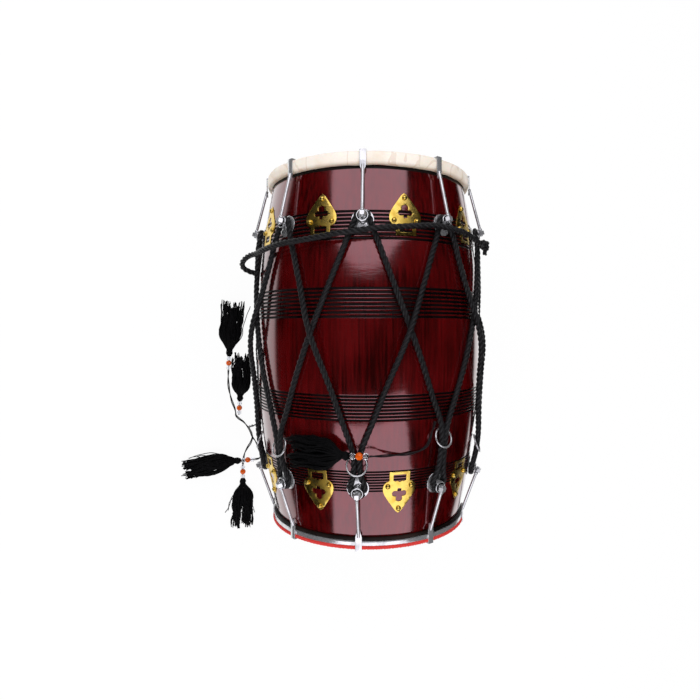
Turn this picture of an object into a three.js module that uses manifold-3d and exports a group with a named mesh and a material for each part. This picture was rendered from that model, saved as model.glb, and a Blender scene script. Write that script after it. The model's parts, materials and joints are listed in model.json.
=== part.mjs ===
// A dhol: a two-headed barrel drum with nine tuning hooks at each end, one rope laced
// from hook to hook, and a garland of beads and yarn tassels.
// It lies on its side, as it is laid down when it isn't played: Y runs along the drum
// with the treble head at +Y, Z is up, and its origin is under its middle.
// Lengths are millimetres and angles are degrees.
import * as THREE from 'three';
import { mergeVertices } from 'three/addons/utils/BufferGeometryUtils.js';
import Module from 'manifold-3d';

const wasm = await Module();
wasm.setup();

// Drum body
const overallHeight = 622.3;
const bellyRadius = 205;
const bellyHeight = 327;
const shellWall = 9;
const shellFoot = 3.9;
const headRise = 4.8;
const turnedSides = 24;

// Turned bands, at shares of the drum's height: each has the same number of grooves
const bandHeightShares = [0.18, 0.3632, 0.6203, 0.8115];
const bandWidths = [35, 42, 49, 48];
const grooveDepth = 1.2;
const groovesPerBand = 8;

// Treble head, at the top end: skin lapped over a hoop
const skinThickness = 1.2;
const topRimRadius = 186;
const topRimDepth = 22.4;
const hoopInset = 2;
const lapWidth = 4.2;
const hoopWidth = 3.4;
const hoopDepth = 13;
const lipRoom = 0.8;

// Bass head, at the foot: skin, metal hoop and a red cord trim below it
const bassWallRadius = 169.9;
const bassWallDepth = 21;
const wallRoom = 0.48;
const bassHoopWidth = 2.8;
const bassHoopDepth = 7.5;
const trimDepth = 5;
const bassLipWidth = 2.4;

// Tuning hooks
const hooksPerEnd = 9;
const topTurn = -2.5;
const bottomTurn = -4.9;
const stripWidth = 10.5;
const stripThickness = 1.8;
const clawLength = 8;
const topStripLength = 24;
const bottomStripLength = 22;
const rodRadius = 2.5;
const collarRadius = 3;
const nutFlats = 9.4;
const nutHeight = 7;
const rodTail = 2;

// Saddles: a spool that the rope goes round, with an eye that the hook passes through
const topHookReach = 109.8;
const bottomSpoolHeight = 100.8;
const flangeRadius = 17.5;
const flangeThickness = 1.2;
const spoolHubRadius = 4.8;
const spoolHubStand = 1.4;
const eyeCentre = 3.5;
const eyeInnerRadius = 7.2;
const eyeOuterRadius = 9.8;
const eyeThickness = 1.7;
const webWidth = 4.4;

// Lacing and rings
const ropeRadius = 5;
const ropeSlack = 0.8;
const ropeSides = 6;
const pairGap = 0.6;
const crossingGap = 0.4;
const ringRadius = 15.5;
const ringWire = 1.4;
const ringTilt = 27.7;
const ringStand = 9.3;
const crossingReach = 70;
const ringReach = 45;
const spoolReach = 90;
const ringHeights = [176, 150, 142, 156, 140, 176, 142, 150, 158];
const pairFoot = 26;

// Free cords: the end of the lacing that is wound round the drum, with its knot, and the
// garland. Each route's points are in the frame in which the drum lies.
const cordSides = 8;
const stepDiameters = 3;
const knotRadius = 9.5;
const garlandRadius = 1.75;
const strapRoute = [
  [179.9, 179.3, 337], [157.9, 178, 360.3], [138.1, 182.5, 377.3], [112.7, 187.2, 395.8],
  [81.6, 189.4, 412.1], [51.4, 191.3, 420.6], [21.5, 188.9, 423.6], [-5.7, 185.6, 425.3],
  [-32, 183.6, 425.9], [-66.5, 179, 418.8], [-95.6, 176.1, 406.6], [-126.9, 171.9, 384.1],
  [-151.1, 169, 365.7], [-175.9, 167.4, 339.9], [-199.5, 164, 294.4], [-210.4, 161.2, 254.4],
  [-216.9, 159.1, 226], [-224, 156.3, 210.7], [-228.1, 151.8, 205.8], [-225.9, 147.2, 206.6],
  [-220.6, 143.6, 212.6], [-215.9, 140.2, 221.2],
];
const frontRoute = [
  [53.4, -110.6, 411.8], [48.9, -123.6, 411.3], [45.5, -137.6, 409.3], [40.9, -148, 407.7],
  [31.2, -155, 406.8], [19.2, -158, 407.7], [7.3, -159.3, 408.4], [-4.7, -159.6, 408.8],
  [-15.8, -159.3, 410.2], [-26.7, -158.6, 413], [-37.5, -157.7, 416.9], [-47, -156.7, 419.7],
  [-54.9, -156.4, 419.9],
];
const hangingRoute = [
  [-208.6, -141, 186.4], [-212.6, -150, 140], [-214, -160, 90], [-211, -174, 45], [-205, -187, 14],
  [-203, -197, 3.4], [-206, -208, 2.4], [-213, -219, 2.4], [-219, -231, 2.4], [-222, -245, 2.6],
  [-223, -254, 6.3],
];
const longRoute = [
  [-203.3, -195, 5], [-207, -184, 2.8], [-213, -174, 2.4], [-222, -163, 2.4], [-232, -155, 3],
  [-237.5, -148, 5.2], [-238, -142, 6.3], [-240, -133, 4.5], [-246, -117, 2.4], [-252, -90, 2.4],
  [-253.5, -68, 2.6], [-253, -51, 6.3],
];
const shortRoute = [
  [-203, -197, 3.4], [-196, -207, 2.4], [-190, -221, 2.4], [-185.5, -235, 4.4], [-188, -242, 8.4],
  [-197.5, -243.4, 10.8],
];

// Tassels: two clear beads and an orange one, a neck and a skirt of yarn
const clearBead = 5;
const orangeBead = 6;
const beadPitch = 9.8;
const beadCore = 2.2;
const neckRadius = 4;
const neckLength = 8;
const headRadius = 8;
const headLength = 12;
const skirtShares = [0.45, 0.6, 0.75, 0.9, 1];
const skirtWidthShares = [0.66, 0.85, 0.97, 1, 0.85];
const tasselSizes = [
  { length: 142, width: 49, thickness: 26, heading: -3 },
  { length: 124, width: 40, thickness: 24, heading: -4 },
  { length: 143, width: 44, thickness: 22, heading: 92 },
  { length: 124, width: 46, thickness: 24, heading: 180 },
  { length: 135, width: 50, thickness: 24, heading: 90 },
];
const besidePoint = 6;

// How the drum comes to rest on its rope and one ring: a little rolled, head end up
const restRoll = 0.95;
const restLean = 0.67;

// Clearance between pieces that touch, and the overrun of a join
const gap = 0.3;
const overrun = 0.5;

// Sides of the small round pieces
const smallSides = 6;
const spoolSides = 10;
const ringSides = 14;
const wireSides = 4;

const pitch = 360 / hooksPerEnd;
const radians = (degrees) => THREE.MathUtils.degToRad(degrees);
const vector = (x, y, z) => new THREE.Vector3(x, y, z);

const lacquer = { color: 0x4a0a08, roughness: 0.12, metalness: 0 };
const chrome = { color: 0xc9ccd0, roughness: 0.18, metalness: 1 };
const rawhide = { color: 0xd9cdb4, roughness: 0.7, metalness: 0 };
const blackSkin = { color: 0x15120f, roughness: 0.6, metalness: 0 };
const blackRope = { color: 0x16161a, roughness: 0.75, metalness: 0 };
const redCord = { color: 0xb3131b, roughness: 0.85, metalness: 0 };
const blackYarn = { color: 0x0c0c0d, roughness: 0.95, metalness: 0 };

function piece(name, geometry, look) {
  const mesh = new THREE.Mesh(geometry, new THREE.MeshStandardMaterial({ ...look, flatShading: true }));
  mesh.name = name;
  return mesh;
}

// Closed meshes as solids that can be joined

function toSolid(geometry) {
  const bare = new THREE.BufferGeometry();
  bare.setAttribute('position', geometry.getAttribute('position'));
  bare.setIndex(geometry.getIndex());
  const merged = mergeVertices(bare);
  const corners = merged.getIndex().array;
  const faces = [];
  for (let i = 0; i < corners.length; i += 3) {
    const [a, b, c] = [corners[i], corners[i + 1], corners[i + 2]];
    if (a !== b && b !== c && c !== a) faces.push(a, b, c);
  }
  return new wasm.Manifold(new wasm.Mesh({
    numProp: 3,
    vertProperties: new Float32Array(merged.getAttribute('position').array),
    triVerts: new Uint32Array(faces),
  }));
}

function fromSolid(solid) {
  const mesh = solid.getMesh();
  const geometry = new THREE.BufferGeometry();
  geometry.setAttribute('position', new THREE.BufferAttribute(mesh.vertProperties, mesh.numProp));
  geometry.setIndex(new THREE.BufferAttribute(mesh.triVerts, 1));
  return geometry;
}

function join(geometries) {
  return fromSolid(geometries.map(toSolid).reduce((whole, part) => whole.add(part)));
}

function turned(outline) {
  return new THREE.LatheGeometry(outline.map(([r, y]) => new THREE.Vector2(r, y)), turnedSides);
}

// Drum body: the barrel curves in from its belly to the edge of the head at each end, which
// fits over it

const shellHead = overallHeight - headRise;
const topRimFoot = overallHeight - topRimDepth;
const hoopOuter = topRimRadius - lapWidth;
const hoopRadius = hoopOuter - hoopWidth;
const topLip = hoopRadius - skinThickness + gap;
const curveTo = (height, radius) => (height - bellyHeight) ** 2 / (2 * (bellyRadius - radius));
const upperCurve = curveTo(topRimFoot, topLip - lipRoom);
const lowerCurve = curveTo(bassWallDepth, bassWallRadius - wallRoom);
const barrelCurve = (y) => (y > bellyHeight ? upperCurve : lowerCurve);
const shellRadius = (y) => bellyRadius - (y - bellyHeight) ** 2 / (2 * barrelCurve(y));
const shellSlope = (y) => -(y - bellyHeight) / barrelCurve(y);

function shellOutside() {
  const plainShares = [0.35, 0.7];
  const outline = [[shellRadius(shellFoot), shellFoot]];
  let below = shellFoot;
  bandHeightShares.forEach((height, band) => {
    const middle = height * overallHeight;
    const start = middle - bandWidths[band] / 2;
    const step = bandWidths[band] / groovesPerBand;
    for (const share of plainShares) {
      const y = below + (start - below) * share;
      outline.push([shellRadius(y), y]);
    }
    for (let groove = 0; groove < groovesPerBand; groove += 1) {
      const ridge = start + step * groove;
      const valley = ridge + step / 2;
      outline.push([shellRadius(ridge), ridge]);
      outline.push([shellRadius(valley) - grooveDepth, valley]);
    }
    below = middle + bandWidths[band] / 2;
    outline.push([shellRadius(below), below]);
  });
  const last = below + (shellHead - below) * plainShares[0];
  outline.push([shellRadius(last), last], [shellRadius(shellHead), shellHead]);
  return outline;
}

function shell() {
  const insideShares = [1, 0.8, 0.6, 0.4, 0.2, 0];
  const outline = shellOutside();
  for (const share of insideShares) {
    const y = shellFoot + (shellHead - shellFoot) * share;
    outline.push([shellRadius(y) - shellWall, y]);
  }
  outline.push(outline[0]);
  return piece('shell', turned(outline), lacquer);
}

// Treble head: its rim is a hoop with the skin lapped round it

const trebleFace = shellHead + gap + skinThickness;
const topRimTop = overallHeight - stripThickness - gap;

function trebleSkin() {
  const hoopFoot = topRimFoot + hoopInset;
  const crown = topRimTop - trebleFace;
  return piece('treble_skin', turned([
    [0, shellHead + gap],
    [hoopRadius - gap, shellHead + gap],
    [hoopOuter + gap, shellHead + gap],
    [hoopOuter + gap, hoopFoot - gap],
    [hoopRadius, hoopFoot - gap],
    [topLip, hoopFoot - gap],
    [topLip, topRimFoot],
    [hoopOuter, topRimFoot],
    [topRimRadius - hoopInset / 2, hoopFoot + hoopInset],
    [topRimRadius, hoopFoot + hoopDepth / 2],
    [topRimRadius - hoopInset / 2, trebleFace - hoopInset / 2],
    [topRimRadius - hoopInset - crown, topRimTop],
    [hoopRadius, topRimTop],
    [hoopRadius - 2 * crown, trebleFace],
    [0, trebleFace],
  ]), rawhide);
}

function trebleHoop() {
  const foot = topRimFoot + hoopInset;
  const top = foot + hoopDepth;
  return piece('treble_hoop', turned([
    [hoopRadius, foot],
    [hoopOuter, foot],
    [hoopOuter, top],
    [hoopRadius, top],
    [hoopRadius, foot],
  ]), chrome);
}

// Bass head: the skin turns up outside the shell, inside a metal hoop

const bassFace = shellFoot - gap - skinThickness;
const bassWallOuter = bassWallRadius + skinThickness;
const hoopBack = bassWallOuter + gap;
const bassHoopOuter = hoopBack + bassHoopWidth;
const trimTop = bassFace + trimDepth;
const bassHoopFoot = trimTop + gap;
const bassHoopTop = bassHoopFoot + bassHoopDepth;

function bassSkin() {
  return piece('bass_skin', turned([
    [0, bassFace],
    [bassWallOuter, bassFace],
    [bassWallOuter, bassHoopTop + gap],
    [bassWallOuter + bassLipWidth, bassHoopTop + gap],
    [bassWallOuter + bassLipWidth, bassWallDepth],
    [bassWallRadius, bassWallDepth],
    [bassWallRadius, bassFace + skinThickness],
    [0, bassFace + skinThickness],
  ]), blackSkin);
}

function bassHoop() {
  return piece('bass_hoop', turned([
    [hoopBack, bassHoopFoot],
    [bassHoopOuter, bassHoopFoot],
    [bassHoopOuter, bassHoopTop],
    [hoopBack, bassHoopTop],
    [hoopBack, bassHoopFoot],
  ]), chrome);
}

function bassTrim() {
  const middle = (hoopBack + bassHoopOuter) / 2;
  return piece('bass_trim', turned([
    [hoopBack, bassFace + trimDepth / 2],
    [middle, bassFace],
    [bassHoopOuter, bassFace + trimDepth / 2],
    [middle, trimTop],
    [hoopBack, bassFace + trimDepth / 2],
  ]), redCord);
}

// Tuning hooks, drawn with x across, y towards the rim and z away from the drum's axis,
// from the middle of the spool and of the rope on it

const ropeStand = gap + flangeThickness + gap + ropeRadius;
const bendRadius = spoolHubRadius + ropeSlack + ropeRadius + gap;
const topSpoolHeight = overallHeight - topHookReach;

// The rod's collar rests on the eye, above the inner edge of its rim
const collarStep = eyeCentre + eyeInnerRadius;
const collarStand = ropeRadius + gap + eyeThickness / 2 + collarRadius;

const ends = {
  top: {
    height: topSpoolHeight,
    turn: topTurn,
    way: 1,
    rimReach: topHookReach,
    rimRadius: topRimRadius + gap,
    stripLength: topStripLength,
  },
  bottom: {
    height: bottomSpoolHeight,
    turn: bottomTurn,
    way: -1,
    rimReach: bottomSpoolHeight,
    rimRadius: bassHoopOuter + gap,
    stripLength: bottomStripLength,
  },
};
for (const end of Object.values(ends)) {
  end.radius = shellRadius(end.height) + ropeStand;
  end.tilt = Math.atan(-end.way * shellSlope(end.height));
  end.collar = vector(0, collarStep, collarStand).applyAxisAngle(vector(1, 0, 0), -end.tilt);
  end.rodHead = vector(0, end.rimReach - end.stripLength, end.rimRadius + stripThickness / 2 - end.radius);
  end.rodWay = end.collar.clone().sub(end.rodHead).normalize();
}

function rodBetween(from, to, radius) {
  const way = to.clone().sub(from);
  const rod = new THREE.CylinderGeometry(radius, radius, way.length(), smallSides);
  const turn = new THREE.Quaternion().setFromUnitVectors(vector(0, 1, 0), way.normalize());
  rod.applyQuaternion(turn);
  const middle = from.clone().add(to).multiplyScalar(1 / 2);
  return rod.translate(middle.x, middle.y, middle.z);
}

function block(width, height, depth, x, y, z) {
  return new THREE.BoxGeometry(width, height, depth).translate(x, y, z);
}

function hookClaw(end) {
  const face = end.rimRadius - end.radius;
  const back = face + stripThickness;
  const shape = new THREE.Shape([
    new THREE.Vector2(face - clawLength, end.rimReach),
    new THREE.Vector2(face - clawLength, end.rimReach - stripThickness),
    new THREE.Vector2(face, end.rimReach - stripThickness),
    new THREE.Vector2(face, end.rimReach - end.stripLength),
    new THREE.Vector2(back, end.rimReach - end.stripLength),
    new THREE.Vector2(back, end.rimReach),
  ]);
  const claw = new THREE.ExtrudeGeometry(shape, { depth: stripWidth, bevelEnabled: false });
  return claw.rotateY(-Math.PI / 2).translate(stripWidth / 2, 0, 0);
}

function hookRod(end) {
  const tail = collarRadius + gap + nutHeight + rodTail;
  const foot = end.collar.clone().addScaledVector(end.rodWay, tail);
  return rodBetween(end.rodHead, foot, rodRadius);
}

function collar(end) {
  return new THREE.SphereGeometry(collarRadius, smallSides, 4).translate(0, end.collar.y, end.collar.z);
}

function spool(end) {
  const back = ropeRadius + gap;
  const outline = [
    [0, -back - flangeThickness],
    [flangeRadius, -back - flangeThickness],
    [flangeRadius, -back],
    [spoolHubRadius, -back],
    [spoolHubRadius, spoolHubStand],
    [0, spoolHubStand],
  ].map(([r, y]) => new THREE.Vector2(r, y));
  const turnedSpool = new THREE.LatheGeometry(outline, spoolSides).rotateX(Math.PI / 2);
  const front = ropeRadius + gap;
  const eyeShape = new THREE.Shape();
  eyeShape.absarc(0, eyeCentre, eyeOuterRadius, 0, 2 * Math.PI);
  const hole = new THREE.Path();
  hole.absarc(0, eyeCentre, eyeInnerRadius, 0, 2 * Math.PI, true);
  eyeShape.holes.push(hole);
  const eye = new THREE.ExtrudeGeometry(eyeShape, {
    depth: eyeThickness,
    bevelEnabled: false,
    curveSegments: 3,
  }).translate(0, 0, front);
  const webFoot = eyeCentre - eyeOuterRadius + overrun;
  const webTop = eyeCentre - eyeInnerRadius - overrun;
  const webDepth = front + eyeThickness - overrun;
  const web = block(webWidth, webTop - webFoot, webDepth, 0, (webTop + webFoot) / 2, webDepth / 2);
  return [turnedSpool, eye, web].map((part) => part.rotateX(-end.tilt));
}

function hook(name, end) {
  return piece(name, join([hookClaw(end), hookRod(end), collar(end), ...spool(end)]), chrome);
}

function nut(name, end) {
  const corners = (radius) => {
    const points = [];
    for (let corner = 0; corner < 6; corner += 1) {
      const angle = radians(60 * corner);
      points.push(new THREE.Vector2(radius * Math.cos(angle), radius * Math.sin(angle)));
    }
    return points;
  };
  const toCorner = 1 / Math.cos(Math.PI / 6);
  const shape = new THREE.Shape(corners((nutFlats / 2) * toCorner));
  shape.holes.push(new THREE.Path(corners((rodRadius + gap) * toCorner)));
  const body = new THREE.ExtrudeGeometry(shape, { depth: nutHeight, bevelEnabled: false });
  const mesh = piece(name, body.translate(0, 0, -nutHeight / 2), chrome);
  mesh.quaternion.setFromUnitVectors(vector(0, 0, 1), end.rodWay);
  mesh.position.copy(end.collar).addScaledVector(end.rodWay, collarRadius + gap + nutHeight / 2);
  return mesh;
}

function hookPlace(end, number) {
  const seat = new THREE.Group();
  seat.position.set(0, end.height, end.radius);
  if (end.way < 0) seat.rotation.z = Math.PI;
  const arm = new THREE.Group();
  arm.rotation.y = radians(end.turn + pitch * number);
  arm.add(seat);
  return { arm, seat };
}

// Lacing: one rope that goes round the drum twice, from each top saddle to the bottom
// saddle on its right and up again, over and under itself where its runs cross

class Route extends THREE.Curve {
  constructor(stations) {
    super();
    this.stations = stations;
  }

  getPoint(share, target = new THREE.Vector3()) {
    const place = share * (this.stations.length - 1);
    const index = Math.min(Math.floor(place), this.stations.length - 2);
    return target.lerpVectors(this.stations[index], this.stations[index + 1], place - index);
  }

  getPointAt(share, target) {
    return this.getPoint(share, target);
  }

  getTangentAt(share, target = new THREE.Vector3()) {
    const place = Math.round(share * (this.stations.length - 1));
    const before = this.stations[Math.max(place - 1, 0)];
    const after = this.stations[Math.min(place + 1, this.stations.length - 1)];
    return target.subVectors(after, before).normalize();
  }
}

function roundSection(radius, sides) {
  const points = [];
  for (let side = 0; side < sides; side += 1) {
    const angle = radians((360 * side) / sides);
    points.push(new THREE.Vector2(radius * Math.cos(angle), radius * Math.sin(angle)));
  }
  return new THREE.Shape(points);
}

function tube(stations, radius, sides) {
  return new THREE.ExtrudeGeometry(roundSection(radius, sides), {
    steps: stations.length - 1,
    extrudePath: new Route(stations),
  });
}

const onDrum = (angle, y, radius) => vector(radius * Math.sin(angle), y, radius * Math.cos(angle));
const hookAngle = (end, number) => radians(end.turn + pitch * number);

function besideHook(end, number, x, reach) {
  const point = vector(x, reach * Math.cos(end.tilt) * end.way, -reach * Math.sin(end.tilt));
  point.add(vector(0, end.height, end.radius));
  return point.applyAxisAngle(vector(0, 1, 0), hookAngle(end, number));
}

function bend(end, number, from, to) {
  const turns = [45, 90, 135];
  const stations = turns.map((turn) => {
    const angle = radians(turn);
    return besideHook(end, number, bendRadius * Math.cos(angle), bendRadius * Math.sin(angle));
  });
  return from > to ? stations : stations.reverse();
}

function ringHeight(number) {
  const wrapped = ((number % hooksPerEnd) + hooksPerEnd) % hooksPerEnd;
  return ringHeights[(wrapped + (hooksPerEnd - 1) / 2) % hooksPerEnd];
}

const baseLift = ropeRadius + ropeSlack;
const crossingLift = 2 * ropeRadius + crossingGap;

// One run of rope, from top saddle number to bottom saddle number + way
function run(number, way, over) {
  const runShares = [0.15, 0.3, 0.45, 0.55, 0.7, 0.85];
  const flatShare = 0.05;
  const foot = number + way;
  const pairSpread = ropeRadius + pairGap / 2;
  const meet = ringHeight(foot) + ringRadius;
  const pairHeight = bottomSpoolHeight + pairFoot;
  const startAngle = hookAngle(ends.top, number) + (way * bendRadius) / ends.top.radius;
  const meetRadius = shellRadius(meet) + ringStand;
  const meetAngle = hookAngle(ends.bottom, foot) - (way * pairSpread) / meetRadius;
  const reach = flangeRadius + ropeRadius;
  const flangeShare = reach / (topSpoolHeight - meet);
  const flangeTurn = THREE.MathUtils.lerp(0, meetAngle - startAngle, flangeShare) + startAngle;
  const flangeStand = ends.top.radius + reach * Math.sin(ends.top.tilt);
  const flangeCover = flangeStand / Math.cos(flangeTurn - hookAngle(ends.top, number));
  const stations = [
    besideHook(ends.top, number, way * bendRadius, 0),
    onDrum(flangeTurn, topSpoolHeight - reach, flangeCover),
  ];
  for (const share of runShares) {
    const y = THREE.MathUtils.lerp(topSpoolHeight, meet, share);
    const angle = THREE.MathUtils.lerp(startAngle, meetAngle, share);
    const crossing = (topSpoolHeight - meet) * Math.max(0, Math.abs(share - 1 / 2) - flatShare);
    const rise = Math.max(0, 1 - crossing / crossingReach);
    const ringLift = Math.max(0, 1 - (y - meet) / ringReach) * (ringStand - baseLift);
    const spoolLift = Math.max(0, 1 - (topSpoolHeight - y) / spoolReach) * (ropeStand - baseLift);
    const lift = baseLift + Math.max(over ? crossingLift * rise : 0, ringLift, spoolLift);
    stations.push(onDrum(angle, y, shellRadius(y) + lift));
  }
  stations.push(onDrum(meetAngle, meet, meetRadius));
  const pairRadius = shellRadius(pairHeight) + ringStand;
  const pairAngle = hookAngle(ends.bottom, foot) - (way * pairSpread) / pairRadius;
  stations.push(onDrum(pairAngle, pairHeight, pairRadius));
  stations.push(besideHook(ends.bottom, foot, -way * bendRadius, 0));
  return stations;
}

function laceRoute(first) {
  const endTurn = 4;
  const isOver = (crossing) => {
    const half = (hooksPerEnd - 1) / 2;
    const centred = ((crossing + half) % hooksPerEnd + hooksPerEnd) % hooksPerEnd - half;
    return Math.abs(centred) % 2 === 1;
  };
  const tip = (turn) => {
    const angle = radians(turn);
    return besideHook(ends.top, first, bendRadius * Math.cos(angle), bendRadius * Math.sin(angle));
  };
  const stations = [tip(90 - endTurn / 2), tip(45)];
  for (let leg = 0; leg < hooksPerEnd; leg += 1) {
    const top = first + 2 * leg;
    stations.push(...run(top, 1, isOver(top)));
    stations.push(...bend(ends.bottom, top + 1, 1, 0).reverse());
    const up = run(top + 2, -1, !isOver(top + 1));
    stations.push(...up.reverse());
    if (leg < hooksPerEnd - 1) stations.push(...bend(ends.top, top + 2, 0, 1));
  }
  stations.push(tip(135), tip(90 + endTurn / 2));
  return stations;
}

function lacing() {
  const route = laceRoute(2);
  return piece('lacing_rope', tube(route, ropeRadius, ropeSides), blackRope);
}

function ring(number) {
  const height = ringHeight(number);
  const mesh = piece(`ring_${number + 1}`, new THREE.TorusGeometry(ringRadius, ringWire, wireSides, ringSides), chrome);
  mesh.position.set(0, height, shellRadius(height) + ringStand);
  mesh.rotation.x = Math.atan(shellSlope(height)) - radians(ringTilt);
  const arm = new THREE.Group();
  arm.rotation.y = hookAngle(ends.bottom, number);
  arm.add(mesh);
  return arm;
}

// Free cords

const places = (route) => route.map(([x, y, z]) => vector(x, y, z));

function freeCord(route, radius) {
  const curve = new THREE.CatmullRomCurve3(places(route));
  const steps = Math.round(curve.getLength() / (2 * radius * stepDiameters));
  return new THREE.ExtrudeGeometry(roundSection(radius, cordSides), { steps, extrudePath: curve });
}

function strap() {
  const [knot] = places(strapRoute);
  const ball = new THREE.SphereGeometry(knotRadius, cordSides, cordSides / 2);
  ball.translate(knot.x, knot.y, knot.z);
  return piece('strap_rope', join([freeCord(strapRoute, ropeRadius), ball]), blackRope);
}

function garland(name, routes) {
  return piece(name, join(routes.map((route) => freeCord(route, garlandRadius))), blackYarn);
}

// Tassels, drawn along y from the middle of the first bead, with z away from what they lie on

// Moves the yarn so that its underside is level with the beads', and drop below it further on
function layDown(geometry, size, drop) {
  const neckStart = beadPitch * 5 / 2;
  const point = geometry.getAttribute('position');
  const flat = size.thickness / size.width;
  for (let i = 0; i < point.count; i += 1) {
    const y = point.getY(i);
    const widest = Math.hypot(point.getX(i), point.getZ(i));
    const share = THREE.MathUtils.smoothstep(y, neckStart, neckStart + neckLength + headLength);
    const flatness = THREE.MathUtils.lerp(1, flat, share);
    const fall = drop * THREE.MathUtils.smoothstep(y, neckStart + neckLength, size.length / 2);
    point.setZ(i, point.getZ(i) * flatness + widest * flatness - orangeBead - fall);
  }
  return geometry;
}

// Bends a piece that runs along y round a drum of that radius
function bent(geometry, radius) {
  const point = geometry.getAttribute('position');
  for (let i = 0; i < point.count; i += 1) {
    const turn = point.getY(i) / radius;
    const reach = radius + point.getZ(i);
    point.setY(i, reach * Math.sin(turn));
    point.setZ(i, reach * Math.cos(turn) - radius);
  }
  return geometry;
}

const lathed = (outline) => new THREE.LatheGeometry(outline.map(([r, y]) => new THREE.Vector2(r, y)), cordSides);

function tassel(name, size, drop = 0, bendRadius = 0) {
  const neckStart = beadPitch * 5 / 2;
  const head = neckStart + neckLength;
  const beads = lathed([
    [0, -clearBead],
    [clearBead * Math.SQRT1_2, -clearBead * Math.SQRT1_2],
    [clearBead, 0],
    [beadCore, beadPitch / 2],
    [orangeBead, beadPitch],
    [beadCore, beadPitch * 3 / 2],
    [clearBead, 2 * beadPitch],
    [beadCore, neckStart],
    [0, neckStart],
  ]);
  const yarn = lathed([
    [0, neckStart - overrun],
    [neckRadius, neckStart],
    [neckRadius, head],
    [headRadius, head + headLength / 2],
    ...skirtShares.map((share, step) => [skirtWidthShares[step] * size.width / 2, share * size.length]),
    [0, size.length],
  ]);
  layDown(yarn, size, drop);
  return piece(name, join([beads, yarn].map((part) => (bendRadius ? bent(part, bendRadius) : part))), blackYarn);
}

// On the ground a tassel carries on from the end of its cord, or lies to the right of one
// of the cord's points. Its heading is its turn from +Y about Z.
const beadRoom = clearBead + 2 * gap;

function tasselOnGround(number, route, point = -1) {
  const size = tasselSizes[number - 1];
  const heading = radians(size.heading);
  const along = vector(-Math.sin(heading), Math.cos(heading), 0);
  const aside = vector(garlandRadius + gap + clearBead, 0, 0);
  const mesh = tassel(`tassel_${number}`, size);
  mesh.position.copy(places(route).at(point));
  mesh.position.add(point < 0 ? along.multiplyScalar(beadRoom) : aside);
  mesh.rotation.z = heading;
  return mesh;
}

// The front tassel goes on round the drum and lies on its shell
function tasselOnDrum(number, route) {
  const end = drum.worldToLocal(places(route).at(-1));
  const radius = Math.hypot(end.x, end.z);
  const drop = radius - orangeBead - 2 * gap - shellRadius(end.y);
  const size = tasselSizes[number - 1];
  const mesh = tassel(`tassel_${number}`, size, drop, radius);
  mesh.position.set(0, end.y, radius);
  mesh.rotation.z = radians(size.heading);
  const arm = new THREE.Group();
  arm.rotation.y = Math.atan2(end.x, end.z) - beadRoom / radius;
  arm.add(mesh);
  return arm;
}

// The drum stands in its own frame, and is then laid on its side with two crossings of
// the rope, one ring and one hook nearest the ground

const drum = new THREE.Group();
drum.add(shell(), trebleSkin(), trebleHoop(), bassSkin(), bassHoop(), bassTrim(), lacing());
for (const [name, end] of Object.entries(ends)) {
  for (let number = 0; number < hooksPerEnd; number += 1) {
    const { arm, seat } = hookPlace(end, number);
    seat.add(hook(`${name}_hook_${number + 1}`, end), nut(`${name}_nut_${number + 1}`, end));
    drum.add(arm);
  }
}
for (let number = 0; number < hooksPerEnd; number += 1) drum.add(ring(number));

const restTurn = (topTurn + bottomTurn) / 2 + pitch * (hooksPerEnd + 1) / 2 - restRoll;
drum.rotation.set(radians(restLean), radians(180 - restTurn), 0);
const box = new THREE.Box3().setFromObject(drum, true);
drum.position.set(-(box.min.x + box.max.x) / 2, -(box.min.y + box.max.y) / 2, -box.min.z);

drum.updateMatrixWorld(true);
drum.add(tasselOnDrum(5, frontRoute));

const dhol = new THREE.Group();
dhol.add(drum, strap());
dhol.add(garland('garland_front', [frontRoute]));
dhol.add(garland('garland_left', [hangingRoute, longRoute, shortRoute]));
dhol.add(tasselOnGround(1, longRoute), tasselOnGround(2, longRoute, besidePoint));
dhol.add(tasselOnGround(3, shortRoute), tasselOnGround(4, hangingRoute));

export default dhol;
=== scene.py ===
import json
import random
from math import acos, atan, atan2, ceil, cos, hypot, pi, radians, sin, sqrt, tau
from types import SimpleNamespace

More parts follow.
